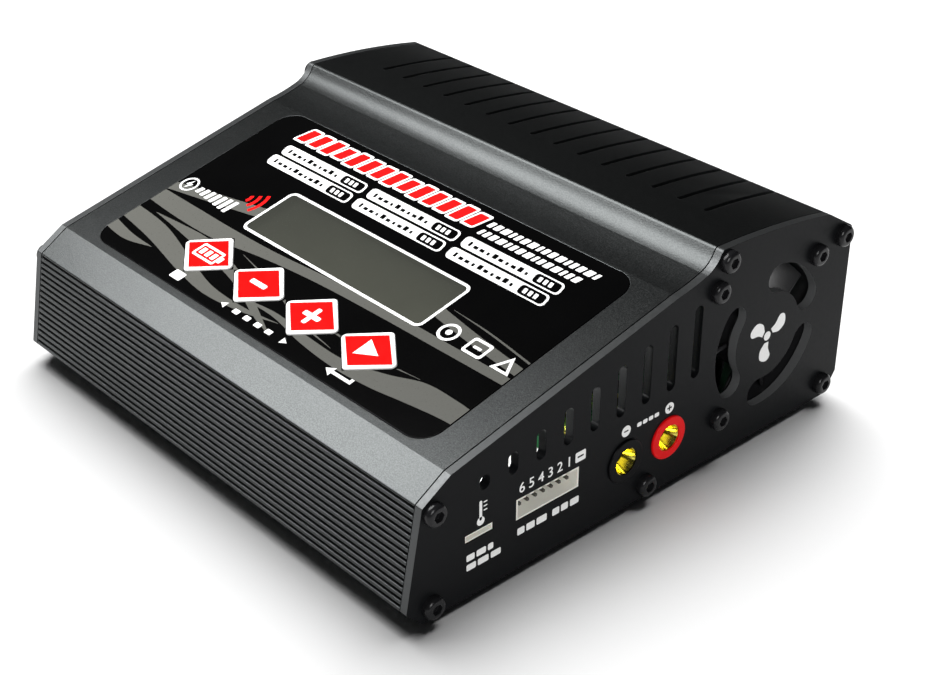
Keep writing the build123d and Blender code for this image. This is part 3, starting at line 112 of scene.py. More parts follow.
# Slots whose surface is plain: colour, roughness, and what differs from plain_finish
PLAIN_FINISHES = {
    "zinc_steel": ((0.62, 0.62, 0.60), 0.28, {"metallic": 1.0, "grain": 0.2, "depth": 0.003}),
    "foot_rubber": ((0.018, 0.018, 0.018), 0.78, {"specular": 0.3, "grain": 0.3, "depth": 0.02}),
    "switch_plastic": ((0.02, 0.02, 0.021), 0.5, {}),
    "display_metal": ((0.02, 0.02, 0.02), 0.45, {"metallic": 0.3}),
    "diffuser": ((0.66, 0.68, 0.60), 0.55, {}),
    "fan_plastic": ((0.012, 0.012, 0.013), 0.32, {"grain": 0.4, "depth": 0.01}),
    "sintered_bronze": ((0.50, 0.33, 0.17), 0.45, {"metallic": 1.0, "depth": 0.02}),
    "motor_steel": ((0.36, 0.36, 0.36), 0.42, {"metallic": 1.0}),
    "black_nylon": ((0.0022, 0.0022, 0.0026), 0.30, {"specular": 0.08, "grain": 0.35, "depth": 0.005}),
    "red_nylon": ((0.74, 0.004, 0.006), 0.34,
                  {"specular": 0.12, "grain": 0.35, "depth": 0.005, "tint": 0.08}),
    "black_silicone": ((0.014, 0.014, 0.014), 0.55, {"grain": 0.5, "depth": 0.01}),
    "red_silicone": ((0.60, 0.012, 0.010), 0.5, {"grain": 0.5, "depth": 0.01}),
    "iron_powder": ((0.22, 0.19, 0.04), 0.6, {"grain": 0.3, "depth": 0.03}),
    "capacitor_sleeve": ((0.012, 0.018, 0.05), 0.3, {"grain": 0.6}),
}
# Header pins darkened beyond plain tin: a painted shade standing for the shadows among them
PINS_PAINTED_DARK = ((0.10, 0.095, 0.085), 0.35, {"metallic": 0.8, "grain": 0.2})


# ------------------------------------------------------------------ node materials
class Finish:
    """A Principled material with short calls for the nodes that give it its detail."""

    def __init__(self, name):
        self.material = bpy.data.materials.new(name)
        self.material.use_nodes = True
        self.tree = self.material.node_tree
        self.shader = self.tree.nodes["Principled BSDF"]
        self.place = self.add("ShaderNodeTexCoord").outputs["Object"]

    def add(self, kind, inputs=None, **settings):
        node = self.tree.nodes.new(kind)
        for key, value in settings.items():
            setattr(node, key, value)
        for key, value in (inputs or {}).items():
            self.feed(node.inputs[key], value)
        return node

    def feed(self, socket, value):
        if isinstance(value, bpy.types.NodeSocket):
            self.tree.links.new(value, socket)
        elif socket.type == "RGBA":
            socket.default_value = (*value[:3], 1.0)
        else:
            socket.default_value = value

    def set(self, **inputs):
        for key, value in inputs.items():
            self.feed(self.shader.inputs[key.replace("_", " ")], value)
        return self

    def noise(self, size_mm, detail=2.0, stretch=(1, 1, 1)):
        """Cloudy value from 0 to 1, with features of about the given size."""
        scale = tuple(s / (size_mm * MM) for s in stretch)
        moved = self.add("ShaderNodeMapping", {"Vector": self.place, "Scale": scale}).outputs[0]
        inputs = {"Vector": moved, "Scale": 1.0, "Detail": detail}
        return self.add("ShaderNodeTexNoise", inputs).outputs["Fac"]

    def cells(self, size_mm):
        """Distance to the nearest of many scattered points: a fine blasted grain."""
        inputs = {"Vector": self.place, "Scale": 1 / (size_mm * MM)}
        return self.add("ShaderNodeTexVoronoi", inputs).outputs["Distance"]

    def spread(self, value, low, high, from_low=0.3, from_high=0.7):
        """Maps a value from one range to another, clamped."""
        inputs = {"Value": value, "From Min": from_low, "From Max": from_high}
        inputs.update({"To Min": low, "To Max": high})
        return self.add("ShaderNodeMapRange", inputs).outputs[0]

    def mix(self, factor, first, second):
        node = self.add("ShaderNodeMix", data_type="RGBA")
        self.feed(node.inputs[0], factor)
        self.feed(node.inputs[6], first)
        self.feed(node.inputs[7], second)
        return node.outputs[2]

    def blend(self, factor, colours):
        """Cloudy colour between the two of a pair."""
        return self.mix(factor, *colours)

    def maths(self, operation, first, second=0.0):
        node = self.add("ShaderNodeMath", operation=operation)
        self.feed(node.inputs[0], first)
        self.feed(node.inputs[1], second)
        return node.outputs[0]

    def squared(self, value):
        return self.maths("MULTIPLY", value, value)

    def step(self, value, at_mm, width_mm=2.0, rising=True):
        """0 below a length and 1 above it, or the other way round, over a soft edge of some width."""
        low, high = (at_mm - width_mm / 2) * MM, (at_mm + width_mm / 2) * MM
        return self.spread(value, 0.0 if rising else 1.0, 1.0 if rising else 0.0, low, high)

    def part(self, axis):
        """One coordinate of the place, in metres."""
        return self.add("ShaderNodeSeparateXYZ", {"Vector": self.place}).outputs[axis]

    def true_normal(self):
        return self.add("ShaderNodeNewGeometry").outputs["Normal"]

    def rounded(self, width_mm):
        """Normal of a surface whose edges are rounded over."""
        return self.add("ShaderNodeBevel", {"Radius": width_mm * MM}, samples=6).outputs[0]

    def facing(self, axis):
        """How far the surface faces along an axis, from -1 to 1."""
        return self.add("ShaderNodeSeparateXYZ", {"Vector": self.true_normal()}).outputs[axis]

    def edges(self, width_mm, strength=1.0):
        """The strength on sharp outer edges, 0 on flat surfaces, from the turn a rounding makes."""
        inputs = {0: self.rounded(width_mm), 1: self.true_normal()}
        turn = self.add("ShaderNodeVectorMath", inputs, operation="DOT_PRODUCT")
        return self.spread(turn.outputs["Value"], strength, 0.0, 0.72, 0.99)

    def relief(self, height, depth_mm, width_mm=None):
        """Bump of a given depth, over softened edges if a width is given."""
        inputs = {"Height": height, "Distance": depth_mm * MM, "Strength": 1.0}
        node = self.add("ShaderNodeBump", inputs)
        if width_mm:
            self.feed(node.inputs["Normal"], self.rounded(width_mm))
        self.set(Normal=node.outputs[0])
        return self


def shade(colour, factor):
    return tuple(min(1.0, c * factor) for c in colour[:3])


def plain_finish(
    name, colour, roughness, metallic=0.0, specular=0.5, grain=0.25, depth=0.004, cloud=9.0, tint=0.12
):
    """Moulded, painted or plated surface: cloudy colour, uneven sheen and a fine grain."""
    finish = Finish(name)
    clouds = finish.noise(cloud, 3.0)
    fine = finish.noise(grain, 2.0)
    base = finish.mix(clouds, shade(colour, 1 - tint), shade(colour, 1 + tint))
    colour_out = finish.mix(finish.spread(fine, 0.0, 1.0), base, shade(colour, 1 + tint))
    finish.set(
        Base_Color=finish.mix(0.35, base, colour_out),
        Roughness=finish.spread(clouds, roughness * 0.88, min(1.0, roughness * 1.12)),
        Metallic=metallic,
        Specular_IOR_Level=specular,
    )
    return finish.relief(fine, depth)


def case_finish():
    """Black anodised aluminium with a fine blasted grain, brighter on its sharp edges: partly wear,
    partly a painted highlight.
    """
    finish = Finish("black_anodised_case")
    grain = finish.cells(0.5)
    specks = finish.noise(0.32, 3.0)
    clouds = finish.noise(14.0, 4.0)
    body = finish.blend(clouds, CASE_BLACK)
    body = finish.mix(finish.spread(specks, 0.0, 0.7, 0.38, 0.66), body, CASE_SPECK)
    # Sharp edges are brightened: partly edge wear, partly a painted highlight
    wear_and_highlight = finish.edges(0.35, 0.55)
    finish.set(
        Base_Color=finish.mix(wear_and_highlight, body, CASE_WEAR_AND_HIGHLIGHT),
        Metallic=0.95,
        Specular_IOR_Level=0.35,
        Roughness=finish.spread(specks, 0.31, 0.40, 0.3, 0.7),
    )
    height = finish.maths("ADD", grain, finish.maths("MULTIPLY", specks, 1.2))
    finish.relief(height, 0.012, 0.2)
    return finish


def outside_vents(finish):
    """0 where the vent slots and the small ports are, 1 towards the rest of a plate."""
    front = finish.step(finish.part("Y"), PORTS_FRONT_Y, rising=False)
    back = finish.step(finish.part("Y"), VENTS_BACK_Y)
    along_y = finish.maths("MULTIPLY", finish.part("Y"), SLOPE_OUT.y)
    along_z = finish.maths("MULTIPLY", finish.part("Z"), SLOPE_OUT.z)
    slope_height = SLOPE.translation.dot(SLOPE_OUT)
    height = finish.maths("SUBTRACT", finish.maths("ADD", along_y, along_z), slope_height)
    near_slope = finish.step(height, VENTS_BELOW_SLOPE, 1.0)
    near_floor = finish.step(finish.part("Z"), PORTS_LOW_Z, 1.0, rising=False)
    ends = finish.maths("MAXIMUM", front, back)
    return finish.maths("MAXIMUM", finish.maths("MAXIMUM", near_slope, near_floor), ends)


def from_fan_axis(finish):
    """Distance from the fan's axis, in metres."""
    fan = middle_of("fan_shaft")
    away_y = finish.maths("SUBTRACT", finish.part("Y"), fan.y)
    away_z = finish.maths("SUBTRACT", finish.part("Z"), fan.z)
    return finish.maths("SQRT", finish.maths("ADD", finish.squared(away_y), finish.squared(away_z)))


def plate_finish():
    """Satin black powder coat with orange peel; the cut edges are barer and lighter, partly bare metal
    and partly a painted highlight, most of all at the fan, whose brighter walls are a painted
    highlight.
    """
    finish = Finish("black_plate")
    peel = finish.noise(0.9, 2.0)
    clouds = finish.noise(20.0, 3.0)
    body = finish.blend(clouds, PLATE_BLACK)
    facing = finish.maths("ABSOLUTE", finish.facing("X"))
    turned_away = finish.spread(facing, 1.0, 0.0, 0.4, 0.9)
    # Edges turned away from the face get a lighter colour, partly bare metal and partly a painted
    # highlight; the grille's walls get the lightest, a painted highlight
    cut_edge_and_highlight = finish.maths("MULTIPLY", turned_away, outside_vents(finish))
    in_grille = finish.step(from_fan_axis(finish), GRILLE_REACH + 0.5, 1.0, rising=False)
    cut_and_highlight_colour = finish.mix(in_grille, PLATE_CUT_AND_HIGHLIGHT, GRILLE_CUT_AND_HIGHLIGHT)
    finish.set(
        Base_Color=finish.mix(cut_edge_and_highlight, body, cut_and_highlight_colour),
        Metallic=finish.maths("MULTIPLY", cut_edge_and_highlight, finish.spread(in_grille, 0.7, 0.2, 0.0, 1.0)),
        Specular_IOR_Level=0.06,
        Roughness=finish.spread(peel, 0.32, 0.42),
    )
    return finish.relief(peel, 0.006, 0.12)


def screw_finish():
    """Glossy black oxide steel, with faint turning marks and bright edges: partly wear, partly a
    painted highlight.
    """
    finish = Finish("black_screw_steel")
    marks = finish.noise(0.25, 2.0, (3.0, 1.0, 1.0))
    # Sharp edges are brightened: partly edge wear, partly a painted highlight
    wear_and_highlight = finish.edges(0.15, 0.25)
    body = finish.blend(marks, SCREW_BLACK)
    finish.set(
        Base_Color=finish.mix(wear_and_highlight, body, SCREW_WEAR_AND_HIGHLIGHT),
        Roughness=finish.spread(marks, 0.16, 0.28),
        Specular_IOR_Level=0.22,
    )
    return finish.relief(marks, 0.004, 0.12)


def film_finish():
    """Glossy black polyester film, with a barely wavy surface."""
    finish = Finish("panel_film")
    waves = finish.noise(16.0, 2.0)
    dust = finish.noise(0.35, 2.0)
    finish.set(
        Base_Color=finish.blend(waves, FILM_BLACK),
        Roughness=finish.spread(dust, 0.10, 0.16),
        Specular_IOR_Level=0.10,
    )
    return finish.relief(waves, 0.03, 0.15)


def painted_corner_shade(finish, node):
    """Painted shade across a node: 0, darkest, in its far left corner, growing to 1, unshaded, in its
    near right corner.
    """
    low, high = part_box(node)
    across = finish.spread(finish.part("X"), 0.0, 1.0, low.x, high.x)
    along = finish.spread(finish.part("Y"), 1.0, 0.0, low.y, high.y)
    return finish.maths("POWER", finish.maths("MULTIPLY", across, along), 0.35)


def window_finish():
    """Smoked acrylic: what is behind it shows through faintly, with a thin gloss over it and painted
    shade in its far left corner.
    """
    finish = Finish("clear_window")
    waves = finish.noise(12.0, 2.0)
    # Painted shade, darkest in the far left corner
    body = finish.blend(painted_corner_shade(finish, "display_window"), WINDOW_OLIVE)
    finish.set(
        Base_Color=finish.mix(finish.spread(waves, 0.0, 0.08), body, (0.0, 0.0, 0.0)),
        Roughness=finish.spread(waves, 0.10, 0.14),
        Alpha=0.72,
        Specular_IOR_Level=0.25,
    )
    return finish


def lcd_finish():
    """Olive-grey liquid-crystal glass with painted shade in one corner, and faint character cells."""
    finish = Finish("lcd_glass")
    # Painted shade, darkest in the far left corner
    body = finish.blend(painted_corner_shade(finish, "display_glass"), LCD_OLIVE)
    cells = finish.add(
        "ShaderNodeTexBrick",
        {
            "Vector": finish.place,
            "Scale": 1.0,
            "Brick Width": 3.55 * MM,
            "Row Height": 5.6 * MM,
            "Mortar Size": 0.3 * MM,
            "Mortar Smooth": 0.4,
            "Color1": (0, 0, 0),
            "Color2": (0, 0, 0),
            "Mortar": (1, 1, 1),
        },
        offset=0.0,
    )
    faint = finish.maths("MULTIPLY", cells.outputs["Fac"], 0.10)
    haze = finish.noise(5.0, 3.0)
    finish.set(
        Base_Color=finish.mix(faint, body, LCD_CELL),
        Roughness=finish.spread(haze, 0.30, 0.38),
        Specular_IOR_Level=0.2,
    )
    return finish


def key_finish(name, node):
    """Glossy red key with a white rim that runs over its edge."""
    finish = Finish(name)
    middle = key_top(node)
    half_x, half_y = KEY_RED_HALF
    x = finish.maths("ABSOLUTE", finish.maths("SUBTRACT", finish.part("X"), middle.x))
    y = finish.maths("ABSOLUTE", finish.maths("SUBTRACT", finish.part("Y"), middle.y))
    reach = finish.maths(
        "ADD",
        finish.maths("MULTIPLY", x, 1 / (half_x * MM)),
        finish.maths("MULTIPLY", y, 1 / (half_y * SLOPE_UP.y * MM)),
    )
    in_rim = finish.spread(reach, 0.0, 1.0, 0.998, 1.012)
    clouds = finish.noise(3.0, 2.0)
    red = finish.blend(clouds, KEY_RED)
    white = finish.blend(clouds, KEY_WHITE)
    finish.set(
        Base_Color=finish.mix(in_rim, red, white),
        Roughness=finish.spread(clouds, 0.34, 0.44),
        Specular_IOR_Level=0.04,
    )
    return finish.relief(clouds, 0.01, 0.15)


def brass_finish():
    """Bright gold-plated brass with fine turned rings about each socket's axis."""
    finish = Finish("gold_brass")
    rings = finish.noise(0.5, 2.0, (6.0, 1.0, 1.0))
    clouds = finish.noise(2.2, 2.0)
    finish.set(
        Base_Color=finish.blend(clouds, BRASS),
        Metallic=1.0,
        Roughness=finish.spread(rings, 0.10, 0.22),
    )
    return finish.relief(rings, 0.012)


def header_finish():
    """Natural nylon, slightly translucent and yellowed in places, with a faint emission: painted light
    that brightens its shaded inside.
    """
    finish = Finish("cream_nylon")
    clouds = finish.noise(4.0, 3.0)
    fine = finish.noise(0.3, 2.0)
    finish.set(
        Base_Color=finish.blend(clouds, NYLON),
        Roughness=finish.spread(fine, 0.42, 0.56),
        Subsurface_Weight=0.15,
        Subsurface_Scale=0.4 * MM,
        # Faint emission: painted light for the header's shaded inside
        Emission_Color=NYLON_PAINTED_LIGHT,
        Emission_Strength=0.14,
    )
    return finish.relief(fine, 0.006, 0.1)


def board_finish(name, mask, track):
    """Solder mask over tracks that show as a faint relief."""
    finish = Finish(name)
    tracks = finish.cells(2.4)
    lines = finish.spread(tracks, 0.0, 1.0, 0.30, 0.36)
    body = finish.mix(finish.noise(8.0, 2.0), shade(mask, 0.85), shade(mask, 1.15))
    finish.set(
        Base_Color=finish.mix(lines, body, track),
        Roughness=finish.spread(lines, 0.26, 0.34, 0, 1),
    )
    return finish.relief(lines, 0.03)


def cable_finish():
    """Grey ribbon cable: parallel cores side by side, its grey darker in the grooves between them, a
    painted shade.
    """
    finish = Finish("cable_grey")
    inputs = {"Vector": finish.place, "Scale": 250.0, "Distortion": 0.0}
    ridge = finish.add("ShaderNodeTexWave", inputs).outputs["Fac"]
    # Its grey follows the ridges, darker in the grooves between cores: painted shade
    finish.set(
        Base_Color=finish.blend(ridge, CABLE_GREY),
        Roughness=finish.spread(finish.noise(2.0), 0.45, 0.6),
    )
    return finish.relief(ridge, 0.2)


def coil_finish():
    """Enamelled copper wire."""
    finish = Finish("copper_wire")
    clouds = finish.noise(1.4, 2.0)
    finish.set(
        Base_Color=finish.blend(clouds, COPPER),
        Metallic=0.9,
        Roughness=finish.spread(clouds, 0.20, 0.34),
    )
    return finish.relief(finish.noise(0.3), 0.01)


def sink_finish():
    """Raw extruded aluminium with drawing lines along its length."""
    finish = Finish("sink_aluminium")
    lines = finish.noise(0.4, 3.0, (0.02, 1.0, 1.0))
    finish.set(
        Base_Color=finish.blend(lines, ALUMINIUM),
        Metallic=1.0,
        Roughness=finish.spread(lines, 0.30, 0.48),
    )
    return finish.relief(lines, 0.01, 0.1)


def ink_finish(name, colour, roughness=0.42):
    """Screen-printing ink: slightly uneven cover over a fine screen grain."""
    finish = Finish(name)
    cover = finish.noise(0.5, 3.0)
    finish.set(
        Base_Color=finish.mix(cover, shade(colour, 0.95), shade(colour, 1.04)),
        Roughness=finish.spread(cover, roughness * 0.9, roughness * 1.1),
        Specular_IOR_Level=0.12,
    )
    return finish.relief(finish.noise(0.2), 0.003)


# ------------------------------------------------------------------ planes to print on
def plane(origin, along, up):
    """Matrix whose first two columns run along a surface and whose third leaves it, in metres."""
    along = Vector(along).normalized()
    up = Vector(up).normalized()
    out = along.cross(up)
    matrix = Matrix((along, up, out)).transposed().to_4x4()
    matrix.translation = Vector(origin)
    return matrix


def slope_plane():
    """Plane of the control film's upper surface, with its origin in the middle of the film."""
    mesh = NODES["panel_overlay"].data
    normal = max((p for p in mesh.polygons if p.normal.z > 0.9), key=lambda p: p.area).normal
    up = normal.cross(Vector((1, 0, 0)))
    up = up if up.y > 0 else -up
    highest = max(v.co.dot(normal) for v in mesh.vertices)
    reach = [v.co.dot(up) for v in mesh.vertices]
    middle = normal * highest + up * (min(reach) + max(reach)) / 2
    return plane(middle, (1, 0, 0), up)


SLOPE = slope_plane()
SLOPE_OUT = SLOPE.col[2].to_3d()
SLOPE_UP = SLOPE.col[1].to_3d()
KEY_RED_HALF = (8.65, 6.55)         # half diagonals of the red part of a key
KEY_OPENING_HALF = (10.56, 8.40)    # half diagonals of its opening in the film


def key_top(node):
    """Middle of a key's top surface."""
    points = [v.co for v in NODES[node].data.vertices]
    height = max(p.dot(SLOPE_OUT) for p in points)
    top = [p for p in points if p.dot(SLOPE_OUT) > height - 0.05 * MM]
    reach = [p.dot(SLOPE_UP) for p in top]
    across = [p.x for p in top]
    middle = SLOPE_OUT * height + SLOPE_UP * (min(reach) + max(reach)) / 2
    middle.x = (min(across) + max(across)) / 2
    return middle


def key_plane(node):
    return plane(key_top(node), (1, 0, 0), SLOPE_UP)


def key_opening(node):
    """Outline of a key's opening in the film, in millimetres on the slope plane."""
    middle = SLOPE.inverted() @ key_top(node)
    x, y = middle.x / MM, middle.y / MM
    half_x, half_y = KEY_OPENING_HALF
    return [(x + half_x, y), (x, y + half_y), (x - half_x, y), (x, y - half_y)]


def middle_of(node):
    low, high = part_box(node)
    return (low + high) / 2


RIGHT_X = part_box("right_end_plate")[1].x
LEFT_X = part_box("left_end_plate")[0].x
# On the right plate, the first axis runs along +Y; on the left plate it runs along -Y. The second is Z.
RIGHT = plane((RIGHT_X, 0, 0), (0, 1, 0), (0, 0, 1))
LEFT = plane((LEFT_X, 0, 0), (0, -1, 0), (0, 0, 1))


# ------------------------------------------------------------------ flat outlines, in millimetres
def arc(centre, radius, start, stop, steps=16):
    angles = [math.radians(start + (stop - start) * i / steps) for i in range(steps + 1)]
    return [(centre[0] + radius * math.cos(a), centre[1] + radius * math.sin(a)) for a in angles]


def dot(centre, radius, steps=28):
    return arc(centre, radius, 0, 360, steps)[:-1]


def rounded_box(centre, width, height, radius):
    points = []
    for quarter, (sx, sy) in enumerate(((1, 1), (-1, 1), (-1, -1), (1, -1))):
        corner = (centre[0] + sx * (width / 2 - radius), centre[1] + sy * (height / 2 - radius))
        points += arc(corner, radius, quarter * 90, quarter * 90 + 90, 8)
    return points


def leaning_box(centre, width, height, lean, radius=0.5):
    """Rounded box whose top is shifted to the right by lean."""
    upright = rounded_box(centre, width, height, radius)
    return [(x + lean * (y - centre[1]) / height, y) for x, y in upright]


def stroke(start, stop, width):
    """Straight bar with round ends."""
    angle = math.degrees(math.atan2(stop[1] - start[1], stop[0] - start[0]))
    radius = width / 2
    return arc(stop, radius, angle - 90, angle + 90, 8) + arc(start, radius, angle + 90, angle + 270, 8)


def bent_stroke(centre, radius, start, stop, width):
    """Part of a ring."""
    return arc(centre, radius + width / 2, start, stop) + arc(centre, radius - width / 2, stop, start)


def shifted(outlines, offset, factor=1.0):
    return [[(offset[0] + factor * x, offset[1] + factor * y) for x, y in line] for line in outlines]


def curve_value(t, a, b, c, d):
    """Catmull-Rom value between b and c, with their neighbours a and d."""
    square = (2 * a - 5 * b + 4 * c - d) * t * t
    cube = (3 * b - a - 3 * c + d) * t ** 3
    return 0.5 * (2 * b + (c - a) * t + square + cube)


def smooth_values(stations, steps=12):
    """Catmull-Rom curve through stations of any size, each a tuple of numbers."""
    before = tuple(2 * a - b for a, b in zip(stations[0], stations[1]))
    after = tuple(2 * a - b for a, b in zip(stations[-1], stations[-2]))
    line = [before, *stations, after]
    out = []
    for quad in zip(line, line[1:], line[2:], line[3:]):
        for i in range(steps):
            out.append(tuple(curve_value(i / steps, *values) for values in zip(*quad)))
    out.append(tuple(stations[-1]))
    return out


def swoosh(stations):
    """Curved band: each station is (x, y, width), and the width is measured upright."""
    line = smooth_values(stations)
    upper = [(x, y + max(w, 0.05) / 2) for x, y, w in line]
    lower = [(x, y - max(w, 0.05) / 2) for x, y, w in line]
    return upper + lower[::-1]


def clipped(outline, left, right):
    """An outline kept between two upright lines, by moving what lies outside onto them."""
    return [(min(max(x, left), right), y) for x, y in outline]


# ------------------------------------------------------------------ meshes
def new_piece(name, mesh, finish, body):
    mesh.materials.append(finish.material)
    piece = bpy.data.objects.new(name, mesh)
    bpy.context.scene.collection.objects.link(piece)
    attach(piece, body)


FILL_ALL = 0            # what delaunay_2d_cdt fills: all between the outlines, or
FILL_WITH_HOLES = 2     # only their inside without the holes


def inside(outline, x, y):
    """Whether a point lies inside an outline."""
    crossings = 0
    for (x1, y1), (x2, y2) in zip(outline, outline[1:] + outline[:1]):
        if (y1 > y) != (y2 > y) and x < x1 + (y - y1) * (x2 - x1) / (y2 - y1):
            crossings += 1
    return crossings % 2 == 1


def covered(points, face, outlines):
    """Whether the middle of a face lies inside any of the outlines."""
    x = sum(points[i].x for i in face) / len(face)
    y = sum(points[i].y for i in face) / len(face)
    return any(inside(outline, x, y) for outline in outlines)


def printed(name, outlines, place, height, finish, body, merge=False, openings=()):
    """Closed thin solid from flat outlines.

    Inner outlines cut holes, or with merge all outlines are joined and the openings are cut out.
    """
    points, loops = [], []
    for line in (*outlines, *openings):
        loops.append(list(range(len(points), len(points) + len(line))))
        points += [Vector(p) for p in line]
    filling = FILL_ALL if merge else FILL_WITH_HOLES
    points, _, faces, _, _, _ = delaunay_2d_cdt(points, [], loops, filling, 1e-4)
    if merge:
        faces = [face for face in faces if covered(points, face, outlines)]
        faces = [face for face in faces if not covered(points, face, openings)]
    build = bmesh.new()
    made = [build.verts.new((p.x * MM, p.y * MM, -INK_SINK * MM)) for p in points]
    for face in faces:
        build.faces.new([made[i] for i in face])
    raised = bmesh.ops.extrude_face_region(build, geom=list(build.faces))["geom"]
    top = [v for v in raised if isinstance(v, bmesh.types.BMVert)]
    bmesh.ops.translate(build, vec=(0, 0, (height + INK_SINK) * MM), verts=top)
    loose = [v for v in build.verts if not v.link_faces]
    bmesh.ops.delete(build, geom=loose, context="VERTS")
    bmesh.ops.recalc_face_normals(build, faces=build.faces)
    build.transform(place)
    mesh = bpy.data.meshes.new(name)
    build.to_mesh(mesh)
    build.free()
    new_piece(name, mesh, finish, body)


def printed_digits(name, digits, centres, height_mm, place, finish, body):
    """Row of digits, each centred on its own point."""
    build = bmesh.new()
    for digit, centre in zip(digits, centres):
        text = bpy.data.curves.new("digit", "FONT")
        text.body = digit
        text.align_x = "CENTER"
        text.align_y = "CENTER"
        text.size = height_mm * 1.4
        text.offset = 0.02
        text.extrude = (WHITE_INK + INK_SINK) / 2
        holder = bpy.data.objects.new("digit", text)
        bpy.context.scene.collection.objects.link(holder)
        bpy.context.view_layer.update()
        shaped = holder.evaluated_get(bpy.context.evaluated_depsgraph_get())
        mesh = bpy.data.meshes.new_from_object(shaped)
        shift = Matrix.Translation((centre[0], centre[1], (WHITE_INK - INK_SINK) / 2))
        mesh.transform(place @ Matrix.Scale(MM, 4) @ shift)
        build.from_mesh(mesh)
        bpy.data.objects.remove(holder)
        bpy.data.curves.remove(text)
        bpy.data.meshes.remove(mesh)
    bmesh.ops.remove_doubles(build, verts=build.verts, dist=0.001 * MM)
    bmesh.ops.recalc_face_normals(build, faces=build.faces)
    mesh = bpy.data.meshes.new(name)
    build.to_mesh(mesh)
    build.free()
    new_piece(name, mesh, finish, body)


# ------------------------------------------------------------------ symbols, about their own middle
def bolt_symbol():
    return [[(0.5, 3.2), (-1.9, -0.5), (-0.3, -0.5), (-0.7, -3.2), (1.9, 0.6), (0.3, 0.6)]]


def battery_symbol():
    """Cell with a terminal and three charge bars."""
    body = [rounded_box((0, 0), 9.0, 5.0, 0.7), rounded_box((0, 0), 7.5, 3.5, 0.3)]
    bars = [rounded_box((x, 0), 1.5, 2.3, 0.2) for x in (-2.3, 0.0, 2.3)]
    return body + bars + [rounded_box((5.1, 0), 1.1, 2.2, 0.3)]


def minus_symbol(size=6.0, width=1.5):
    return [rounded_box((0, 0), size, width, width * 0.3)]


def plus_symbol(size=6.0, width=1.5):
    return minus_symbol(size, width) + [rounded_box((0, 0), width, size, width * 0.3)]


def play_symbol():
    return [[(-2.4, 3.0), (-2.4, -3.0), (3.6, 0)]]


def arrow_symbol(side):
    return [[(-side * 0.9, 0.95), (-side * 0.9, -0.95), (side * 0.9, 0)]]


def return_symbol():
    """Bent arrow: confirms the choice shown."""
    head = [(-1.6, -0.45), (-1.6, -1.5), (-4.2, 0.1), (-1.6, 1.6), (-1.6, 0.5)]
    return [[(5.6, 1.3), (5.6, -0.45), *head, (4.6, 0.5), (4.6, 1.3)]]


def thermometer_symbol():
    stem = stroke((0, -2.0), (0, 3.0), 0.9)
    scale = [stroke((1.1, y), (2.0, y), 0.35) for y in (0.2, 1.4, 2.6)]
    return [dot((0, -2.6), 1.25), stem] + scale


def plus_outline(size, width):
    """Plus sign as one outline, so that it can be cut out of another."""
    a, b = size / 2, width / 2
    right = [(b, b), (b, a), (-b, a), (-b, b), (-a, b), (-a, -b)]
    return right + [(-x, -y) for x, y in right]


def fan_symbol(blades=3):
    """Swept blades around a hub."""
    edge = [(1.5, -0.7), (3.0, -1.9), (5.0, -1.7), (5.9, 0.2), (4.9, 1.3), (3.0, 0.6), (1.5, 0.55)]
    blade = smooth_values(edge, 6)
    lines = [dot((0, 0), 1.0)]
    for i in range(blades):
        turn = math.radians(360 * i / blades + 30)
        c, s = math.cos(turn), math.sin(turn)
        lines.append([(x * c - y * s, x * s + y * c) for x, y in blade])
    return lines


# ------------------------------------------------------------------ print on the control film
# Places are (x, y) in millimetres from the middle of the film, with y running up the slope
FILM_LOW, FILM_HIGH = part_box("panel_overlay")
FILM_HALF_X = (FILM_HIGH.x - FILM_LOW.x) / 2 / MM
FILM_EDGE = 0.15            # bare strip between the bands and the film's ends
KEY_X = {name: key_top(f"{name}_key").x / MM for name in KEY_NAMES}
WINDOW_LOW, WINDOW_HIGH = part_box("display_window")
WINDOW_STEP = 0.4           # how far the window's lower step reaches past its visible part
WINDOW_MIDDLE = ((WINDOW_LOW.x + WINDOW_HIGH.x) / 2 / MM, 0.6)
WINDOW_HALF_X = (WINDOW_HIGH.x - WINDOW_LOW.x) / 2 / MM - WINDOW_STEP
WINDOW_H = 16.6
WINDOW_LINE = 0.85
WINDOW_CORNER = 1.4

# Background bands: stations of x, y and upright width
LONG_BANDS = (
    ((-70, -12.6, 5.2), (-52, -13.2, 6.0), (-36, -13.2, 5.6), (-18, -11.8, 3.4), (2, -10.3, 3.0),
     (24, -9.6, 3.0), (46, -9.4, 2.8), (70, -9.2, 2.6)),
    ((-70, -21.2, 5.2), (-52, -23.2, 6.0), (-34, -27.4, 4.8), (-20, -30.0, 3.2), (-6, -29.6, 1.6),
     (6, -27.6, 0.1)),
    ((-70, -27.4, 3.8), (-58, -28.9, 2.8), (-48, -28.0, 0.1)),
    ((-60, -18.0, 0.1), (-50, -18.2, 2.0), (-38, -18.8, 4.0), (-26, -20.6, 3.6), (-14, -23.6, 3.0),
     (-2, -28.4, 2.0), (8, -31.8, 0.1)),
    ((-12, -27.0, 0.1), (2, -26.0, 1.4), (16, -27.6, 2.6), (30, -28.2, 3.4), (42, -26.6, 5.4),
     (52, -24.2, 7.4), (62, -23.4, 6.4), (70, -23.4, 5.4)),
    ((6, -19.6, 0.1), (20, -21.4, 0.5), (36, -21.6, 0.5), (50, -20.4, 0.1)),
    ((-24, -15.6, 0.1), (-8, -18.8, 0.6), (10, -23.8, 0.7), (24, -25.8, 0.1)),
)
LEFT_BANDS = (((-70, -8.4, 3.4), (-52, -4.9, 3.8), (-30, -0.6, 4.0)),)
RIGHT_BANDS = (
    ((30, -0.6, 3.6), (50, -3.4, 3.2), (70, -5.6, 2.8)),
    ((38, 1.2, 0.1), (52, 0.2, 0.5), (70, -2.2, 0.6)),
)

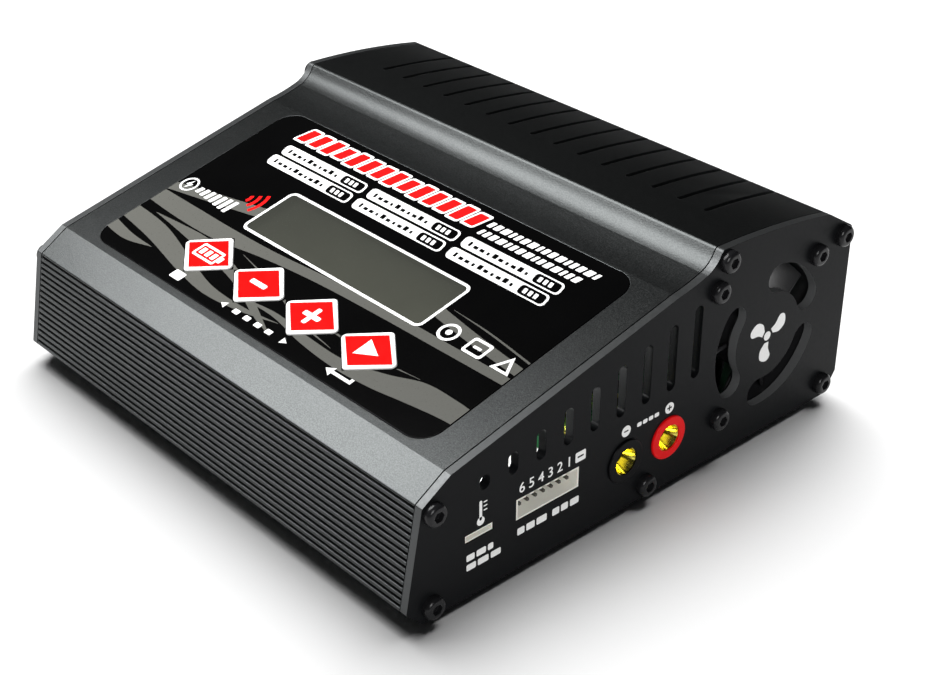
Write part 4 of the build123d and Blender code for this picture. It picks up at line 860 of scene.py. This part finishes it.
GAUGE_Y = 29.0
GAUGE_X = (-54.8, 18.8)
GAUGE_HEIGHT = 7.4
GAUGE_LEAN = 2.0
GAUGE_CELLS = 14
RATING_ROWS = (21.2, 16.1)
RATING_COLUMNS = ((-53.4, -18.9), (-16.9, 17.6), (19.7, 54.2))
RATING_STEPS = 10
DASH_ROWS = ((29.7, 20.4, 58.4, 1), (26.2, 20.4, 55.6, 4))      # y, start, end, first step
BADGE_AT = (-62.9, -4.8)
BADGE_BARS_X = -58.0
WAVES_AT = (-44.8, 0.7)
SIDE_ROW = -5.1
TARGET_X, FRAME_X, WARNING_X = 43.1, 52.9, 62.6
KEY_MARK_ROW = -31.0


def film_bands(finish):
    """Sweeping grey bands of the film's background, kept off the window and the key openings."""
    edge = FILM_HALF_X - FILM_EDGE
    beside = WINDOW_HALF_X + 0.8
    limits = (
        (LONG_BANDS, -edge, edge),
        (LEFT_BANDS, -edge, WINDOW_MIDDLE[0] - beside),
        (RIGHT_BANDS, WINDOW_MIDDLE[0] + beside, edge),
    )
    outlines = [clipped(swoosh(band), left, right) for bands, left, right in limits for band in bands]
    openings = [key_opening(f"{name}_key") for name in KEY_NAMES]
    printed("film_bands", outlines, SLOPE, BAND_INK, finish, "charger", merge=True, openings=openings)


def film_title(red, white):
    """Charge gauge in place of a title: a row of leaning red cells with white rims."""
    left, right = GAUGE_X
    pitch = (right - left) / GAUGE_CELLS
    rims = []
    hearts = []
    for i in range(GAUGE_CELLS):
        middle = (left + (i + 0.5) * pitch, GAUGE_Y)
        tall = GAUGE_HEIGHT * (0.86 + 0.14 * abs(math.sin(1.9 * i + 0.6)))
        heart = tall - 1.5
        rims.append(leaning_box(middle, pitch - 0.35, tall, GAUGE_LEAN, 0.9))
        hearts.append(leaning_box(middle, pitch - 1.75, heart, GAUGE_LEAN * heart / tall, 0.4))
    printed("title_rims", rims, SLOPE, WHITE_INK, white, "charger")
    printed("title_cells", hearts, SLOPE, TOP_INK, red, "charger")


def rating_bar(left, right, y):
    """White bar with a row of black steps, then a black field with three white cells."""
    split = right - 9.6
    outlines = [
        leaning_box(((left + right) / 2, y), right - left, 4.2, -0.9, 1.4),
        leaning_box(((split + right) / 2 - 0.2, y), right - split - 1.0, 3.3, -0.7, 1.1),
    ]
    outlines += [leaning_box((split + 2.3 + 1.8 * i, y), 1.1, 1.7, -0.4, 0.2) for i in range(3)]
    tallest = 1.7
    for i in range(RATING_STEPS):
        x = left + 2.6 + (split - left - 4.8) * i / (RATING_STEPS - 1)
        tall = tallest if i % 4 == 0 else 1.1
        wide = 1.5 if i % 3 else 0.9
        outlines.append(leaning_box((x, y + (tall - tallest) / 2), wide, tall, -0.2, 0.2))
    return outlines


def film_rating_bars(white):
    """Two rows of three rating bars."""
    outlines = []
    for y in RATING_ROWS:
        for left, right in RATING_COLUMNS:
            outlines += rating_bar(left, right, y)
    printed("rating_bars", outlines, SLOPE, WHITE_INK, white, "charger")


def film_side_lines(white):
    """Two rows of short dashes beside the gauge."""
    outlines = []
    for y, x, right, step in DASH_ROWS:
        while x < right - 1.0:
            length = 1.1 + 1.1 * ((step * 5) % 4) / 3
            outlines.append(leaning_box((x + length / 2, y), length, 2.2, 0.6, 0.3))
            x += length + 0.75
            step += 1
    printed("side_lines", outlines, SLOPE, WHITE_INK, white, "charger")


def film_badges(red, white):
    """Bolt badge with rising bars and waves at the left, and three plain marks beside the display."""
    row = BADGE_AT[1]
    badge = [dot(BADGE_AT, 2.9), dot(BADGE_AT, 2.3)] + shifted(bolt_symbol(), BADGE_AT, 0.6)
    for i in range(7):
        badge.append(leaning_box((BADGE_BARS_X + 2.3 * i, row), 1.4, 2.4 + 0.45 * i, 0.5, 0.3))
    printed("badge", badge, SLOPE, WHITE_INK, white, "charger")
    waves = [bent_stroke(WAVES_AT, radius, -32, 32, 1.1) for radius in (2.2, 4.6, 7.0)]
    printed("badge_waves", waves, SLOPE, WHITE_INK, red, "charger")

    marks = [dot((TARGET_X, SIDE_ROW), radius) for radius in (3.0, 2.2, 0.9)]
    for width, height, radius in ((6.4, 5.4, 0.9), (4.8, 3.8, 0.5), (2.6, 0.8, 0.2)):
        marks.append(rounded_box((FRAME_X, SIDE_ROW), width, height, radius))
    for half, low, high in ((3.0, -2.7, 2.9), (1.7, -1.95, 1.2)):
        triangle = [(-half, low), (half, low), (0, high)]
        marks += shifted([triangle], (WARNING_X, SIDE_ROW))
    printed("side_marks", marks, SLOPE, WHITE_INK, white, "charger")


def window_outline(white):
    """Round-cornered white line around the display window."""
    outlines = []
    for grow, corner in ((WINDOW_LINE, 2.2), (0, WINDOW_CORNER)):
        width, height = 2 * (WINDOW_HALF_X + grow), WINDOW_H + 2 * grow
        outlines.append(rounded_box(WINDOW_MIDDLE, width, height, corner))
    printed("window_outline", outlines, SLOPE, WHITE_INK, white, "charger")


def film_key_marks(white):
    """Symbols below the keys: stop, choose with two arrows, and confirm."""
    row = KEY_MARK_ROW
    outlines = [rounded_box((KEY_X["stop"], row), 4.2, 2.9, 0.4)]
    outlines += shifted(arrow_symbol(-1), (KEY_X["decrease"] - 1.6, row), 1.1)
    outlines += shifted(arrow_symbol(1), (KEY_X["increase"] + 1.6, row), 1.1)
    outlines += [rounded_box((x, row), 2.2, 1.5, 0.3) for x in (-6.6, -2.2, 2.2, 6.6)]
    outlines += shifted(return_symbol(), (KEY_X["start"], row), 0.95)
    printed("key_marks", outlines, SLOPE, WHITE_INK, white, "charger")


def key_prints(white):
    """White symbol on each key; it moves with the key."""
    symbols = {
        "stop": battery_symbol(),
        "decrease": minus_symbol(),
        "increase": plus_symbol(),
        "start": play_symbol(),
    }
    for name, outlines in symbols.items():
        place = key_plane(f"{name}_key")
        crossed = name == "increase"
        printed(f"{name}_key_symbol", outlines, place, BAND_INK, white, f"{name}_button", crossed)


# ------------------------------------------------------------------ print on the end plates
PORT_PITCH = 2.95
PORT_DIGITS_ABOVE = 2.7         # from the header's top
LEGEND_BELOW = 3.4              # from the header's bottom
SIGNS_ABOVE = 8.3               # from the output sockets' axes
LEGEND_BARS = ((-8.4, 2.2), (-5.4, 2.6), (-1.9, 3.2), (2.6, 2.2), (5.4, 2.2), (8.6, 2.8))
SENSOR_LEGEND = (
    (0.4, ((-2.6, 2.4), (0.6, 2.8), (3.4, 1.6))),
    (-2.2, ((-2.4, 2.8), (1.2, 3.2), (5.0, 3.0))),
)


def bar_row(bars, middle_y, z, height):
    """Small bars in place of words: each is its offset along the row and its width."""
    return [rounded_box((middle_y + offset, z), width, height, 0.35) for offset, width in bars]


def port_digits(white):
    """The balance port's ways, numbered from 6 down to 1; returns where the row's minus sign goes."""
    low_y = middle_of("balance_header").y / MM
    row_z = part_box("balance_header")[1].z / MM + PORT_DIGITS_ABOVE
    centres = [(low_y + (i - 3) * PORT_PITCH + 0.6, row_z) for i in range(6)]
    printed_digits("port_digits", "654321", centres, 2.7, RIGHT, white, "charger")
    return low_y + 3 * PORT_PITCH + 1.3, row_z


def right_plate_marks(white, minus_at):
    """Minus sign of the balance port, thermometer, and the signs of the output sockets."""
    square_y, row_z = minus_at
    sensor_y = middle_of("sensor_socket").y / MM
    marks = [rounded_box((square_y, row_z + 0.1), 3.3, 2.7, 0.35)]
    marks.append(rounded_box((square_y, row_z + 0.1), 2.0, 0.5, 0.1))
    marks += shifted(thermometer_symbol(), (sensor_y + 0.4, row_z - 0.6), 0.9)
    spots = []
    for pole, sign in (("negative", minus_symbol(1.5, 0.4)), ("positive", [plus_outline(1.6, 0.45)])):
        bush = middle_of(f"{pole}_socket_bush")
        spots.append((bush.y / MM, bush.z / MM + SIGNS_ABOVE))
        marks += [dot(spots[-1], 1.5)] + shifted(sign, spots[-1])
    between = (spots[0][0] + spots[1][0]) / 2
    marks += [rounded_box((between + x, spots[0][1]), 1.5, 1.1, 0.3) for x in (-3.0, -1.0, 1.0, 3.0)]
    printed("right_plate_marks", marks, RIGHT, WHITE_INK, white, "charger")


def right_plate_print(white):
    right_plate_marks(white, port_digits(white))

    low_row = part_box("balance_header")[0].z / MM - LEGEND_BELOW
    legend = bar_row(LEGEND_BARS, middle_of("balance_header").y / MM, low_row, 1.9)
    for above, bars in SENSOR_LEGEND:
        legend += bar_row(bars, middle_of("sensor_socket").y / MM, low_row + above, 1.7)
    printed("right_plate_legend", legend, RIGHT, WHITE_INK, white, "charger")

    fan = middle_of("fan_shaft")
    mark = shifted(fan_symbol(), (fan.y / MM, fan.z / MM), 1.25)
    printed("fan_mark", mark, RIGHT, WHITE_INK, white, "charger")


def left_plate_print(white):
    """Signs over the input socket's poles, and an arrow on a line over the USB port."""
    socket_y = -middle_of("input_socket").y / MM
    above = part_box("input_socket")[1].z / MM + 2.4
    marks = shifted(minus_symbol(2.2, 0.55), (socket_y + 3.6, above))
    marks += shifted([plus_outline(2.2, 0.55)], (socket_y - 3.6, above))
    usb_y = -middle_of("usb_shell").y / MM
    above_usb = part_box("usb_shell")[1].z / MM + 2.8
    marks.append(stroke((usb_y - 2.6, above_usb), (usb_y + 0.8, above_usb), 0.5))
    marks += shifted(arrow_symbol(1), (usb_y + 2.2, above_usb), 0.9)
    printed("left_plate_marks", marks, LEFT, WHITE_INK, white, "charger", merge=True)


# ------------------------------------------------------------------ finishes for every node
def slot_finishes():
    finishes = {
        "black_anodised_case": case_finish(),
        "black_plate": plate_finish(),
        "black_screw_steel": screw_finish(),
        "panel_film": film_finish(),
        "clear_window": window_finish(),
        "lcd_glass": lcd_finish(),
        "circuit_board": board_finish("circuit_board", GREEN_MASK, GREEN_TRACK),
        "cable_grey": cable_finish(),
        "copper_wire": coil_finish(),
        "cream_nylon": header_finish(),
        "gold_brass": brass_finish(),
        "sink_aluminium": sink_finish(),
    }
    for name, (colour, roughness, changes) in PLAIN_FINISHES.items():
        finishes[name] = plain_finish(name, colour, roughness, **changes)
    return finishes


def own_finishes():
    """Finishes of the nodes that look different from the rest of their slot."""
    own = {f"{name}_key": key_finish(f"{name}_key_finish", f"{name}_key") for name in KEY_NAMES}
    own["balance_board"] = board_finish("white_board", WHITE_MASK, WHITE_TRACK)
    # The header's pins are darkened: painted shade
    colour, roughness, changes = PINS_PAINTED_DARK
    own["header_pins"] = plain_finish("pins_painted_dark", colour, roughness, **changes)
    return own


def dress_nodes():
    finishes = slot_finishes()
    own = own_finishes()
    for part in frame["record"]["subparts"]:
        node = part["node"]
        finish = own[node] if node in own else finishes[part["material_slot"]]
        for slot in NODES[node].material_slots:
            slot.material = finish.material


# ------------------------------------------------------------------ floor, lights and camera
MIDDLE = Vector((0, 0, 0.03))       # what the softboxes face
FLOOR_HALF = 2.5

# Softboxes: direction from the charger, distance and size in metres, and watts
SIDE_SOFTBOX = ((-0.458, -0.359, 0.813), 0.35, (0.33, 0.25), 2.75)
SIDE_LONG_WAY = (0.67, 0.46, 0.58)
RIGHT_FILL = ((0.78, -0.40, 0.50), 1.2, (0.5, 0.5), 7.0)
FLOOR_LIGHT = ((-0.32, 0.32, 0.89), 1.3, (1.5, 1.5), 38.0)
INNER_LAMP_AT = (0.056, -0.032, 0.030)
INNER_LAMP_WATTS = 0.035
INNER_LAMP_RADIUS = 0.006

CAMERA_AT = Vector((0.3079, -0.2635, 0.2526))
CAMERA_AIM = Vector((0.0285, -0.0127, 0.0300))
CAMERA_ROLL = math.radians(0.11)
CAMERA_LENS = 68.65
SENSOR = 36.0


def floor():
    finish = plain_finish(
        "floor_white", FLOOR_WHITE, 0.7, specular=0.2, grain=2.0, depth=0.0, cloud=200, tint=0.01
    )
    build = bmesh.new()
    bmesh.ops.create_grid(build, x_segments=4, y_segments=4, size=FLOOR_HALF)
    mesh = bpy.data.meshes.new("floor")
    build.to_mesh(mesh)
    build.free()
    mesh.materials.append(finish.material)
    sheet = bpy.data.objects.new("floor", mesh)
    bpy.context.scene.collection.objects.link(sheet)
    sheet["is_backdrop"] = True
    return sheet


def softbox(name, direction, distance, size, power, lit, long_way=(0, 0, 1)):
    """Rectangular area light facing the charger; its first side runs along long_way."""
    light = bpy.data.lights.new(name, "AREA")
    light.shape = "RECTANGLE"
    light.size, light.size_y = size
    light.energy = power
    holder = bpy.data.objects.new(name, light)
    way = Vector(direction).normalized()
    along = Vector(long_way)
    along = (along - way * along.dot(way)).normalized()
    place = Matrix((along, way.cross(along), way)).transposed().to_4x4()
    place.translation = MIDDLE + way * distance
    holder.matrix_world = place
    holder.light_linking.receiver_collection = lit
    bpy.context.scene.collection.objects.link(holder)


def inner_light(lit):
    """Weak lamp inside the case, for what can be seen through the vents and the fan's openings."""
    lamp = bpy.data.lights.new("inner_light", "POINT")
    lamp.energy = INNER_LAMP_WATTS
    lamp.shadow_soft_size = INNER_LAMP_RADIUS
    holder = bpy.data.objects.new("inner_light", lamp)
    holder.location = INNER_LAMP_AT
    holder.light_linking.receiver_collection = lit
    bpy.context.scene.collection.objects.link(holder)


def collection_of(name, objects):
    group = bpy.data.collections.new(name)
    for item in objects:
        group.objects.link(item)
    return group


def lights(sheet):
    """A softbox on the left, a fill and an inner lamp for the charger, and the floor's own light."""
    charger = collection_of("charger_parts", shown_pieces())
    stage = collection_of("stage_parts", [sheet])
    softbox("side_softbox", *SIDE_SOFTBOX, charger, SIDE_LONG_WAY)
    softbox("right_fill", *RIGHT_FILL, charger)
    softbox("floor_light", *FLOOR_LIGHT, stage)
    inner_light(charger)
    world = bpy.data.worlds.new("studio")
    world.use_nodes = True
    world.node_tree.nodes["Background"].inputs["Color"].default_value = (*STUDIO_GREY, 1.0)
    bpy.context.scene.world = world


def camera():
    data = bpy.data.cameras.new("camera")
    data.lens = CAMERA_LENS
    data.sensor_width = SENSOR
    data.clip_start = 0.01
    holder = bpy.data.objects.new("camera", data)
    holder.location = CAMERA_AT
    turn = (CAMERA_AIM - CAMERA_AT).to_track_quat("-Z", "Y").to_matrix()
    holder.rotation_euler = (turn @ Matrix.Rotation(-CAMERA_ROLL, 3, "Z")).to_euler()
    bpy.context.scene.collection.objects.link(holder)
    bpy.context.scene.camera = holder


# ------------------------------------------------------------------ the whole scene
white_ink = ink_finish("white_ink", INK_WHITE)
red_ink = ink_finish("red_ink", INK_RED)
grey_ink = ink_finish("grey_ink", INK_GREY, 0.30)

dress_nodes()
film_bands(grey_ink)
film_title(red_ink, white_ink)
film_rating_bars(white_ink)
film_side_lines(white_ink)
film_badges(red_ink, white_ink)
window_outline(white_ink)
film_key_marks(white_ink)
key_prints(white_ink)
right_plate_print(white_ink)
left_plate_print(white_ink)
lights(floor())
camera()
bpy.context.scene.view_settings.view_transform = "Standard"
